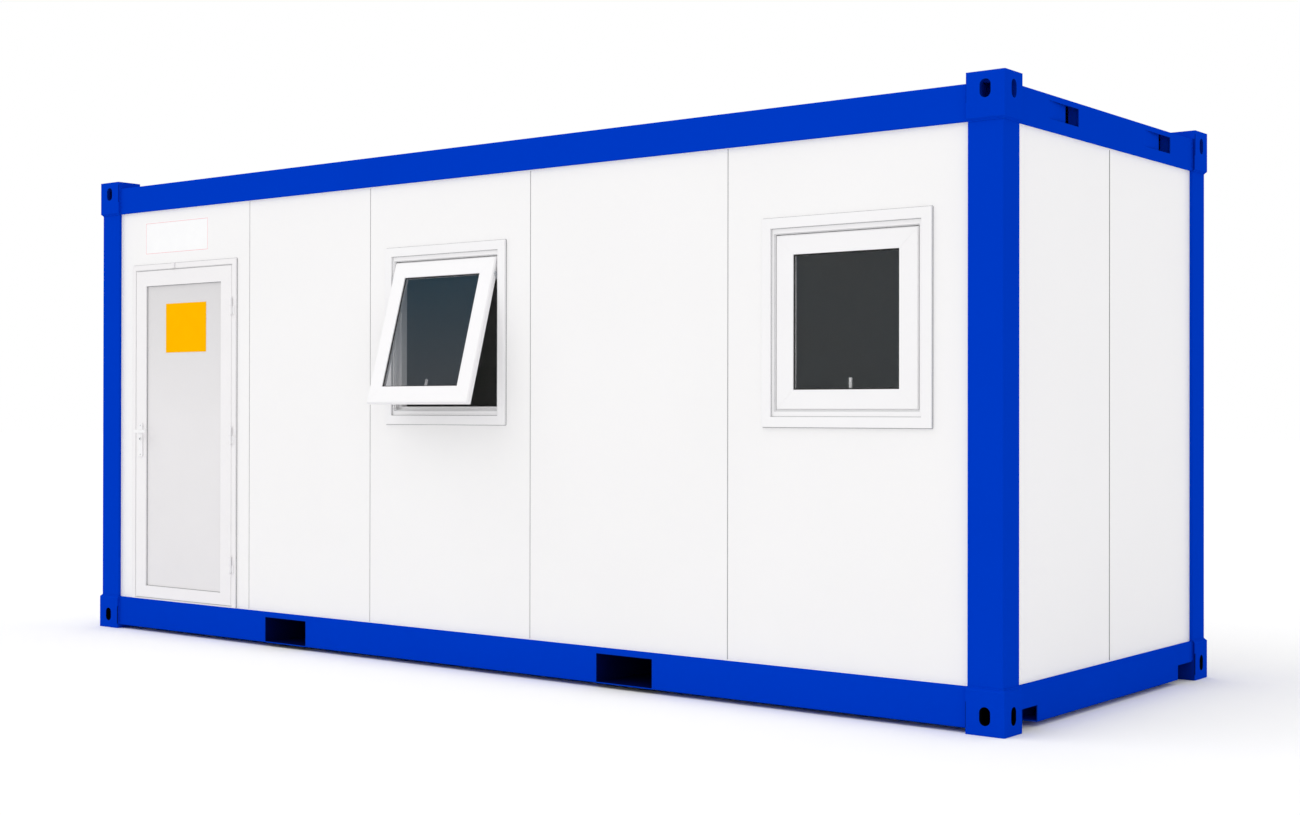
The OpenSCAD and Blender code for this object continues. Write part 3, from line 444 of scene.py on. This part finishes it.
def makePiece(name, shape, material, riding):
    bmesh.ops.recalc_face_normals(shape, faces=shape.faces[:])
    mesh = bpy.data.meshes.new(name)
    shape.to_mesh(mesh)
    shape.free()
    mesh.materials.append(material)
    piece = bpy.data.objects.new(name, mesh)
    scene.collection.objects.link(piece)
    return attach(piece, riding)


def smooth(piece, degrees):
    for face in piece.data.polygons:
        face.use_smooth = True
    piece.data.set_sharp_from_angle(angle=math.radians(degrees))


# pairs of millimetres in metres, the second counted from a face
def fromMm(pairs, face=0):
    return [(a * mm, face + b * mm) for a, b in pairs]


# a box as the front shows it: its middle, and its size less a margin all round, as (x, z)
def frontMiddle(box):
    return (box[0].x + box[1].x) / 2, (box[0].z + box[1].z) / 2


def frontSize(box, margin):
    return box[1].x - box[0].x - 2 * margin, box[1].z - box[0].z - 2 * margin


# half an outline, a point on its middle line and the other half
def mirrored(half, tip):
    return half + [tip] + [(-x, y) for x, y in reversed(half)]


# a rectangle about the origin with rounded corners, bevelled ones where there is a single step
def roundedOutline(size, corner, steps):
    outline = []
    for sx, sy, start in ((1, 1, 0), (-1, 1, 90), (-1, -1, 180), (1, -1, 270)):
        for k in range(steps + 1):
            a = math.radians(start + 90 * k / steps)
            outline.append((sx * (size[0] / 2 - corner) + corner * math.cos(a),
                            sy * (size[1] / 2 - corner) + corner * math.sin(a)))
    return outline


def circle(sides):
    return [(math.cos(2 * math.pi * k / sides), math.sin(2 * math.pi * k / sides)) for k in range(sides)]


# faces from each ring of vertices to the next, and over both ends where they are capped
def skinRings(shape, rings, capped):
    for here, there in zip(rings, rings[1:]):
        for k in range(len(here)):
            n = (k + 1) % len(here)
            shape.faces.new((here[k], here[n], there[n], there[k]))
    if capped:
        shape.faces.new(rings[0])
        shape.faces.new(rings[-1])


# an outline in its own xy plane, drawn up from low to high
def addPrism(shape, outline, low, high, place):
    rings = [[shape.verts.new(place @ Vector((x, y, z))) for x, y in outline] for z in (low, high)]
    skinRings(shape, rings, True)


# a mitred rectangle in the xz plane; the section is (in from its edge, y) pairs
def addFrame(shape, centre, size, section, place):
    rings = []
    for sx, sz in ((-1, -1), (1, -1), (1, 1), (-1, 1)):
        rings.append([shape.verts.new(place @ Vector((centre[0] + sx * (size[0] / 2 - inset), y,
                                                      centre[1] + sz * (size[1] / 2 - inset))))
                      for inset, y in section])
    skinRings(shape, rings + rings[:1], False)


# a profile of (radius, height) pairs turned about its own z
def addTurned(shape, profile, sides, place):
    rings = [[shape.verts.new(place @ Vector((radius * c, radius * s, height))) for c, s in circle(sides)]
             for radius, height in profile]
    skinRings(shape, rings, True)


# a bead from start to end, thinner at both: rippled where it is a weld, even where it is plastic
def addBead(shape, start, end, bead):
    start, end = Vector(start), Vector(end)
    run = end - start
    across = run.orthogonal().normalized()
    up = run.cross(across).normalized()
    perRipple = 3  # rings in each ripple
    steps = max(4, round(run.length / bead["pitch"] * perRipple))
    rings = []
    for k in range(steps + 1):
        swell = 1 + bead["ripple"] * math.cos(2 * math.pi * k / perRipple)
        radius = bead["radius"] * swell * (bead["taper"] if k in (0, steps) else 1)
        middle = start + run * k / steps
        rings.append([shape.verts.new(middle + radius * (c * across + s * up))
                      for c, s in circle(bead["sides"])])
    skinRings(shape, rings, True)


# a hollow-faced fillet in the corner along start to end, with its two legs as vectors
def addFillet(shape, start, end, legA, legB):
    legA, legB = Vector(legA), Vector(legB)
    hollow = 0.34  # share of both legs that its hollow face is away from the corner
    section = (Vector(), legA, hollow * legA + hollow * legB, legB)
    rings = [[shape.verts.new(Vector(spot) + step) for step in section] for spot in (start, end)]
    skinRings(shape, rings, True)


upright = Matrix.Identity(4)
faceOut = Matrix.Rotation(math.radians(90), 4, "X")  # a part's own z then points out of the front wall
faceIn = Matrix.Rotation(math.radians(-90), 4, "X")  # and here into the room


# weld beads where posts and rails meet the corner fittings
weld = {
    "radius": 4.5 * mm, "pitch": 9 * mm, "ripple": 0.14, "taper": 0.55, "sides": 8,
    "notchTop": 100 * mm,  # the end bottom rails are notched up to here
}
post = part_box("front_right_post")
railLow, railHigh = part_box("front_bottom_rail"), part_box("front_top_rail")
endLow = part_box("right_bottom_rail")
shape = bmesh.new()
for sx in (-1, 1):
    for sy in (-1, 1):
        outX, outY = sx * post[1].x, -sy * post[0].y
        inX, inY = sx * post[0].x, -sy * post[1].y
        for z in (post[0].z, post[1].z):
            addBead(shape, (inX, outY, z), (outX, outY, z), weld)
            addBead(shape, (outX, inY, z), (outX, outY, z), weld)
        sideX, sideY = sx * railLow[1].x, -sy * railLow[0].y
        endX, endY = sx * endLow[1].x, sy * endLow[1].y
        addBead(shape, (sideX, sideY, railLow[0].z), (sideX, sideY, railLow[1].z), weld)
        addBead(shape, (sideX, sideY, railHigh[0].z), (sideX, sideY, railHigh[1].z), weld)
        addBead(shape, (endX, endY, weld["notchTop"]), (endX, endY, endLow[1].z), weld)
        addBead(shape, (endX, endY, railHigh[0].z), (endX, endY, railHigh[1].z), weld)
smooth(makePiece("frameWelds", shape, frameEnamel, "cabin"), 50)
print("weld beads laid")


# folded plates inside the end top rails, that close the hollows behind the lashing slots
slotPlate = {
    "slotEnds": (-0.400, 0.740),  # the slots' far ends along y
    "clear": 22 * mm, "reach": 60 * mm, "fold": 15 * mm, "thick": 3 * mm, "railWall": 5.2 * mm,
}
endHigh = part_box("right_top_rail")
thick, near, far = slotPlate["thick"], slotPlate["railWall"], slotPlate["reach"]
folded = [(near, 0), (far, 0), (far, thick), (near + thick, thick), (near + thick, slotPlate["fold"]),
          (near, slotPlate["fold"])]
shape = bmesh.new()
for sx in (-1, 1):
    for y in slotPlate["slotEnds"]:
        beside = Matrix.Translation((sx * endHigh[1].x, y + slotPlate["clear"], 0))
        addPrism(shape, [(-sx * a, b) for a, b in folded], endHigh[0].z + near, endHigh[1].z - near, beside)
makePiece("slotEndPlates", shape, frameEnamel, "cabin")

# blanking plates behind the end apertures of the left fittings, in the castings' enamel with its painted
# hollow shade
blank = {
    "wide": 56 * mm, "tall": 85 * mm, "thick": 6 * mm, "steps": 12, "fittingWall": 28.2 * mm,
    "y": 1.130, "z": (0.083, 2.746),  # the apertures' middles
}
radius, rise = blank["wide"] / 2, (blank["tall"] - blank["wide"]) / 2
stadium = []
for turn, middle in ((0, rise), (180, -rise)):
    for k in range(blank["steps"] + 1):
        a = math.radians(turn + 180 * k / blank["steps"])
        stadium.append((middle + radius * math.sin(a), radius * math.cos(a)))
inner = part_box("bottom_corner_fittings")[0].x + blank["fittingWall"]
shape = bmesh.new()
for sy in (-1, 1):
    for z in blank["z"]:
        behind = Matrix.Translation((inner, sy * blank["y"], z)) @ Matrix.Rotation(math.radians(90), 4, "Y")
        addPrism(shape, stadium, 0, blank["thick"], behind)
makePiece("fittingBlanks", shape, castEnamel, "cabin")
print("inner plates set")


# compressed seals in the open joints between wall panels: mastic along the sides, black rubber at the ends
seal = {
    "width": 4.4 * mm, "depth": 12 * mm, "margin": 6 * mm,
    "sunk": 1.0 * mm, "edgeDrop": 0.9 * mm, "shoulder": 0.6, "shoulderDrop": 0.25 * mm,  # along the sides
    "endLap": 3.2 * mm, "endProud": 0.9 * mm, "endShoulder": 0.7,
}
wall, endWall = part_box("front_wall_second_panel"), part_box("right_end_panels")
panelJoints = [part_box("front_wall_" + name + "_panel")[0].x
               for name in ("second", "third", "fourth", "fifth")]
half, sunk, proud = seal["width"] / 2, seal["sunk"], seal["endProud"]
crown = mirrored([(half, -seal["depth"]), (half, -sunk - seal["edgeDrop"]),
                  (half * seal["shoulder"], -sunk - seal["shoulderDrop"])], (0, -sunk))
cover = mirrored([(half, -seal["depth"]), (half, 0), (seal["endLap"], 0),
                  (half, proud * seal["endShoulder"])], (0, proud))
low, high = wall[0].z + seal["margin"], wall[1].z - seal["margin"]
shape = bmesh.new()
for x in panelJoints:
    for turn, y in ((180, wall[0].y), (0, -wall[0].y)):
        inJoint = Matrix.Translation((x, y, 0)) @ Matrix.Rotation(math.radians(turn), 4, "Z")
        addPrism(shape, crown, low, high, inJoint)
smooth(makePiece("panelSeals", shape, jointMastic, "cabin"), 40)
shape = bmesh.new()
for turn, x in ((-90, endWall[1].x), (90, -endWall[1].x)):
    inJoint = Matrix.Translation((x, 0, 0)) @ Matrix.Rotation(math.radians(turn), 4, "Z")
    addPrism(shape, cover, low, high, inJoint)
smooth(makePiece("endSeals", shape, sealRubber, "cabin"), 40)
print("panel joints sealed")


# tooled silicone where the wall panels meet posts and rails, and grey silicone round the door frame and the
# window trims, which is painted shade along their edges
fillet = {"wallLeg": 4 * mm, "trimLeg": 3 * mm}
leg = fillet["wallLeg"]
foot, head = wall[0].z, wall[1].z
postX, postY = post[0].x, -post[1].y  # the posts' inner faces
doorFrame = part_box("door_frame")
shape = bmesh.new()
for sy in (-1, 1):
    face, out = -sy * wall[0].y, (0, sy * leg, 0)
    footRuns = [(-postX, postX)]
    if sy < 0:
        footRuns = [(-postX, doorFrame[0].x), (doorFrame[1].x, postX)]
    for start, end in footRuns:
        addFillet(shape, (start, face, foot), (end, face, foot), out, (0, 0, leg))
    addFillet(shape, (-postX, face, head), (postX, face, head), out, (0, 0, -leg))
    for sx in (-1, 1):
        addFillet(shape, (sx * postX, face, foot), (sx * postX, face, head), out, (-sx * leg, 0, 0))
for sx in (-1, 1):
    face, out = sx * endWall[1].x, (sx * leg, 0, 0)
    for z, up in ((foot, leg), (head, -leg)):
        addFillet(shape, (face, -postY, z), (face, postY, z), out, (0, 0, up))
    for sy in (-1, 1):
        addFillet(shape, (face, sy * postY, foot), (face, sy * postY, head), out, (0, -sy * leg, 0))
smooth(makePiece("wallSilicone", shape, finishes["whiteSilicone"], "cabin"), 50)
# grey silicone round the frames and trims: a painted shade line along their outer edges
leg = fillet["trimLeg"]
face, out = wall[0].y, (0, -leg, 0)
shape = bmesh.new()
for name in ("door_frame", "first_window_frame", "second_window_frame"):
    lowest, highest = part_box(name)
    for x, side in ((lowest.x, -leg), (highest.x, leg)):
        addFillet(shape, (x, face, lowest.z), (x, face, highest.z), out, (side, 0, 0))
    for z, up in ((lowest.z, -leg), (highest.z, leg)):
        if name != "door_frame" or up > 0:
            addFillet(shape, (lowest.x, face, z), (highest.x, face, z), out, (0, 0, up))
smooth(makePiece("trimShadeSilicone", shape, finishes["shadeGreySilicone"], "cabin"), 50)
print("silicone tooled")


# both windows are alike: the second is closed, the first is the same one moved aside, its sash swung open
window = {  # as in the CAD
    "openDeg": 17.0, "glassLap": 10 * mm, "trimFace": 48 * mm, "trimDeep": 12 * mm, "sashGap": 8 * mm,
    "sashBevel": 6 * mm,
}
# painted shade: a grey line inside each trim, along the trim's inner edge
trimShadeLine = {"section": ((-0.1, 0.2), (-0.1, -0.9), (2.1, -0.6), (3, 0.2))}  # inside the trim
windowSeal = {  # in the rebate, set a little up and to the right
    "section": ((-2, -1.5), (4.55, -1), (6.5, 0), (4.55, 1), (-2, 1.5)), "back": 4 * mm, "shift": 1.4 * mm,
}
paneGasket = {"section": ((0, -3.2), (2.5, -3.6), (5, -2), (6, -0.1), (0, -0.1))}
weldLine = {  # in the sash's mitres
    "radius": 0.8 * mm, "pitch": 30 * mm, "ripple": 0.0, "taper": 0.55, "sides": 8, "sunk": 0.5 * mm,
}
sash, glass, trim = (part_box("second_window_" + name) for name in ("sash", "glass", "frame"))
aside = Matrix.Translation((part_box("first_window_frame")[0].x - trim[0].x, 0, 0))
hinge = Vector((0, sash[0].y, sash[1].z))
openTurn = Matrix.Rotation(-math.radians(window["openDeg"]), 4, "X")
swung = aside @ Matrix.Translation(hinge) @ openTurn @ Matrix.Translation(-hinge)
centre = frontMiddle(glass)
shifted = [c + windowSeal["shift"] for c in centre]
lineSize, sealSize = frontSize(trim, window["trimFace"]), frontSize(sash, -window["sashGap"])
paneSize, sashSize = frontSize(glass, window["glassLap"]), frontSize(sash, window["sashBevel"])
lineSection = fromMm(trimShadeLine["section"], trim[0].y + window["trimDeep"])
sealSection = fromMm(windowSeal["section"], sash[0].y + windowSeal["back"])
gasketSection = fromMm(paneGasket["section"], glass[0].y)
trimShadeLines, rebateSeals, sashWelds = bmesh.new(), bmesh.new(), bmesh.new()
for name, fixed, swinging in (("first", aside, swung), ("second", upright, upright)):
    addFrame(trimShadeLines, centre, lineSize, lineSection, fixed)
    addFrame(rebateSeals, shifted, sealSize, sealSection, fixed)
    shape = bmesh.new()
    addFrame(shape, centre, paneSize, gasketSection, swinging)
    smooth(makePiece(name + "WindowGasket", shape, sealRubber, "cabin"), 30)
    for sx, sz in ((-1, -1), (-1, 1), (1, -1), (1, 1)):
        inner, outer = [Vector((centre[0] + sx * size[0] / 2, sash[0].y + weldLine["sunk"],
                                centre[1] + sz * size[1] / 2)) for size in (paneSize, sashSize)]
        addBead(sashWelds, swinging @ inner, swinging @ outer, weldLine)
makePiece("windowShadeLines", trimShadeLines, finishes["shadeLineSilicone"], "cabin")
smooth(makePiece("windowRebateSeals", rebateSeals, finishes["paleSeal"], "cabin"), 35)
makePiece("sashWeldLines", sashWelds, whiteUpvc, "cabin")
print("windows glazed")


# door: dark gasket round the infill
infillSeal = {"lap": 12 * mm, "section": ((0, -3.4), (2.1, -3.2), (3, -2), (3, 0.1), (0, 0.1))}
leaf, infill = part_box("door_leaf"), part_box("door_infill")
shape = bmesh.new()
addFrame(shape, frontMiddle(infill), frontSize(infill, infillSeal["lap"]),
         fromMm(infillSeal["section"], infill[0].y), upright)
smooth(makePiece("infillGasket", shape, finishes["darkSeal"], "door"), 35)

# pale lip in the gap between leaf and frame
doorGap = 7 * mm  # as the CAD leaves it
lip = {"section": ((-0.2, -1.5), (3.5, -1), (5, 0), (3.5, 1), (-0.2, 1.5)), "back": 4 * mm}
leafMiddle, rebateSize = frontMiddle(leaf), frontSize(leaf, -doorGap)
shape = bmesh.new()
addFrame(shape, leafMiddle, rebateSize, fromMm(lip["section"], leaf[0].y + lip["back"]), upright)
smooth(makePiece("frameLip", shape, finishes["paleSeal"], "cabin"), 35)

# strip that covers the gap along the hinges
coverStrip = {"outline": ((0, 0), (0, 2.2), (-6.2, 2.2), (-6.2, 1), (-5.2, 0)), "back": 0.5 * mm}
onJamb = Matrix.Translation((leaf[1].x + doorGap, leaf[0].y + coverStrip["back"], 0))
shape = bmesh.new()
addPrism(shape, fromMm(coverStrip["outline"]), leaf[0].z, leaf[1].z, onJamb)
makePiece("hingeCoverStrip", shape, doorUpvc, "cabin")

# seal on the stop behind the leaf
stopSeal = {"section": ((2, -0.2), (2, -4), (5, -6), (9, -4), (9, -0.2))}
shape = bmesh.new()
addFrame(shape, leafMiddle, rebateSize, fromMm(stopSeal["section"], leaf[1].y + doorGap), upright)
smooth(makePiece("rebateSeal", shape, finishes["darkSeal"], "cabin"), 35)

# screws, lock rings and key slots on both handle plates
furniture = {
    "bossProud": 4 * mm, "screwInset": 12 * mm, "keyDrop": 48 * mm, "screwSides": 20, "ringSides": 28,
    "screwHead": ((4.2, -0.2), (4.2, 0.5), (3.2, 1.1), (1.6, 1.4)),
    "lockRing": ((6.8, -0.2), (6.8, 0.3), (6.2, 0.8), (3.0, 0.8), (2.2, 0.3)),
    "keySlot": ((-0.8, -4), (0.8, -4), (0.8, 4), (-0.8, 4)), "slotLevels": (0.2 * mm, 0.95 * mm),
}
joints = {joint["name"]: joint for joint in frame["record"]["behaviour"]["joints"]}
leverX, leverY, leverZ = joints["lever_turn"]["pos_m"]
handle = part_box("door_handle_plates")
shape, slots = bmesh.new(), bmesh.new()
for boss, inward, turned in ((handle[0].y, 1, faceOut), (handle[1].y, -1, faceIn)):
    plate = boss + inward * furniture["bossProud"]
    for z in (handle[0].z + furniture["screwInset"], handle[1].z - furniture["screwInset"]):
        onPlate = Matrix.Translation((leverX, plate, z)) @ turned
        addTurned(shape, fromMm(furniture["screwHead"]), furniture["screwSides"], onPlate)
    onBoss = Matrix.Translation((leverX, boss, leverZ - furniture["keyDrop"])) @ turned
    addTurned(shape, fromMm(furniture["lockRing"]), furniture["ringSides"], onBoss)
    addPrism(slots, fromMm(furniture["keySlot"]), *furniture["slotLevels"], onBoss)
smooth(makePiece("plateScrews", shape, brushedSteel, "door"), 40)
makePiece("keySlots", slots, sealRubber, "door")

# face plate with its latch on the edge of the leaf, and the strike on the jamb
lockPlate = {
    "size": (230 * mm, 20 * mm), "bevel": 4 * mm, "levels": (-0.2 * mm, 0.6 * mm), "screwInset": 12 * mm,
    "screwHead": ((3.8, 0.4), (3.8, 0.8), (2.6, 1.1)), "screwSides": 18,
    "latch": ((-16, -6), (-16, 6), (14, 6), (14, -6)), "latchLevels": (0.4 * mm, 3.6 * mm),
}
outline = roundedOutline(lockPlate["size"], lockPlate["bevel"], 1)
screwAt = lockPlate["size"][0] / 2 - lockPlate["screwInset"]
for name, riding, x, turn in (("lockFace", "door", leaf[0].x, -90),
                              ("strikePlate", "cabin", leaf[0].x - doorGap, 90)):
    onEdge = Matrix.Translation((x, leverY, leverZ)) @ Matrix.Rotation(math.radians(turn), 4, "Y")
    shape = bmesh.new()
    addPrism(shape, outline, *lockPlate["levels"], onEdge)
    for along in (-screwAt, screwAt):
        addTurned(shape, fromMm(lockPlate["screwHead"]), lockPlate["screwSides"],
                  onEdge @ Matrix.Translation((along, 0, 0)))
    if name == "lockFace":
        addPrism(shape, fromMm(lockPlate["latch"]), *lockPlate["latchLevels"], onEdge)
    smooth(makePiece(name, shape, brushedSteel, riding), 30)

# domed caps on both ends of the hinge barrels
hingeCap = {
    "shares": (0.12, 0.5, 0.88), "reach": 50 * mm, "sides": 24,  # shares of the leaf's height
    "profile": ((8, -0.1), (8, 1.2), (6.8, 2.6), (4, 3.6), (1.2, 4)),
}
hingeX, hingeY = joints["door_swing"]["pos_m"][:2]
cap, reach = fromMm(hingeCap["profile"]), hingeCap["reach"]
upper, lower = bmesh.new(), bmesh.new()
for share in hingeCap["shares"]:
    z = leaf[0].z + share * (leaf[1].z - leaf[0].z)
    above, below = (Matrix.Translation((hingeX, hingeY, level)) for level in (z + reach, z - reach))
    addTurned(upper, cap, hingeCap["sides"], above)
    addTurned(lower, cap, hingeCap["sides"], below @ Matrix.Rotation(math.pi, 4, "X"))
smooth(makePiece("upperHingeCaps", upper, whiteUpvc, "door"), 40)
smooth(makePiece("lowerHingeCaps", lower, whiteUpvc, "cabin"), 40)
print("door trimmed")


# blank label film over the door, with the fine edge line of its stock
label = {
    "low": (-2.625, 2.344), "high": (-2.036, 2.546),  # x and z of its corners
    "corner": 6 * mm, "steps": 4, "thick": 0.35 * mm,
    "line": ((0, 0), (0, -0.15), (2.2, -0.15), (2.2, 0)),
}
middle = [(a + b) / 2 for a, b in zip(label["low"], label["high"])]
size = [b - a for a, b in zip(label["low"], label["high"])]
stuck = Matrix.Translation((middle[0], wall[0].y, middle[1])) @ faceOut
shape = bmesh.new()
addPrism(shape, roundedOutline(size, label["corner"], label["steps"]), 0, label["thick"], stuck)
makePiece("doorLabel", shape, finishes["labelFilm"], "cabin")
shape = bmesh.new()
addFrame(shape, middle, [s - 2 * label["corner"] for s in size],
         fromMm(label["line"], wall[0].y - label["thick"]), upright)
makePiece("doorLabelEdge", shape, finishes["labelInk"], "cabin")
print("label placed")


# hex screws with sealing washers on the roof ribs
roofScrew = {
    "pitch": 0.290, "ribs": 19, "rows": (-1.03, -0.52, 0.0, 0.52, 1.03), "washerSides": 16, "headSides": 6,
    "washer": ((9, 0), (9, 0.6), (6.3, 1.4)),
    "head": ((5, 1.4), (5, 4.6), (4, 5.4)),
}
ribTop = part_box("roof_sheet")[1].z
shape = bmesh.new()
for i in range(roofScrew["ribs"]):
    x = (i - (roofScrew["ribs"] - 1) / 2) * roofScrew["pitch"]
    for y in roofScrew["rows"]:
        spot = Matrix.Translation((x, y, ribTop))
        addTurned(shape, fromMm(roofScrew["washer"]), roofScrew["washerSides"], spot)
        addTurned(shape, fromMm(roofScrew["head"]), roofScrew["headSides"], spot)
smooth(makePiece("roofScrews", shape, brushedSteel, "cabin"), 35)
print("roof screws set")


# one for what the camera, a mirror or a pane sees, nought for what only lights the cabin
def seenDirectly(tree):
    ray = addNode(tree, "ShaderNodeLightPath", {}, {})
    either = addNode(tree, "ShaderNodeMath", {"operation": "MAXIMUM"},
                     {0: ray.outputs["Is Camera Ray"], 1: ray.outputs["Is Transmission Ray"]})
    seen = addNode(tree, "ShaderNodeMath", {"operation": "MAXIMUM"},
                   {0: either.outputs[0], 1: ray.outputs["Is Glossy Ray"]})
    return seen.outputs[0]


# floor: plain pale paper, white to the camera and in glass where nothing shades it
ground = {"reach": 90.0, "drop": 0.5 * mm, "paper": "#F6F6F6", "seen": "#FFFFFF"}
shape = bmesh.new()
bmesh.ops.create_grid(shape, x_segments=2, y_segments=2, size=ground["reach"])
mesh = bpy.data.meshes.new("paleFloor")
shape.to_mesh(mesh)
shape.free()
floor = bpy.data.objects.new("paleFloor", mesh)
floor.location.z = -ground["drop"]
scene.collection.objects.link(floor)
paper, tree, shader = newFinish("floorPaper", {"Roughness": 0.9, "Specular IOR Level": 0.0})[:3]
tone = addNode(tree, "ShaderNodeMix", {"data_type": "RGBA", 6: hexToLinear(ground["paper"]),
               7: hexToLinear(ground["seen"])}, {0: seenDirectly(tree)})
tree.links.new(tone.outputs[2], shader.inputs["Base Color"])
mesh.materials.append(paper)

# light: an even pale sky and one broad soft sun from the upper left
light = {
    "white": (1, 1, 1, 1), "sky": 0.9, "sun": 0.62,
    "sunSpread": 55.0, "sunTilt": 40.0, "sunTurn": -38.0,  # degrees
}
world = bpy.data.worlds.new("paleSky")
scene.world = world
world.use_nodes = True
tree = world.node_tree
tree.nodes.clear()
soft = addNode(tree, "ShaderNodeBackground", {"Color": light["white"], "Strength": light["sky"]}, {})
white = addNode(tree, "ShaderNodeBackground", {"Color": light["white"], "Strength": 1.0}, {})
mixed = addNode(tree, "ShaderNodeMixShader", {},
                {0: seenDirectly(tree), 1: soft.outputs[0], 2: white.outputs[0]})
addNode(tree, "ShaderNodeOutputWorld", {}, {"Surface": mixed.outputs[0]})
sunData = bpy.data.lights.new("softSun", "SUN")
sunData.energy = light["sun"]
sunData.angle = math.radians(light["sunSpread"])
sun = bpy.data.objects.new("softSun", sunData)
sun.rotation_euler = (math.radians(light["sunTilt"]), 0, math.radians(light["sunTurn"]))
scene.collection.objects.link(sun)
print("floor and light set")
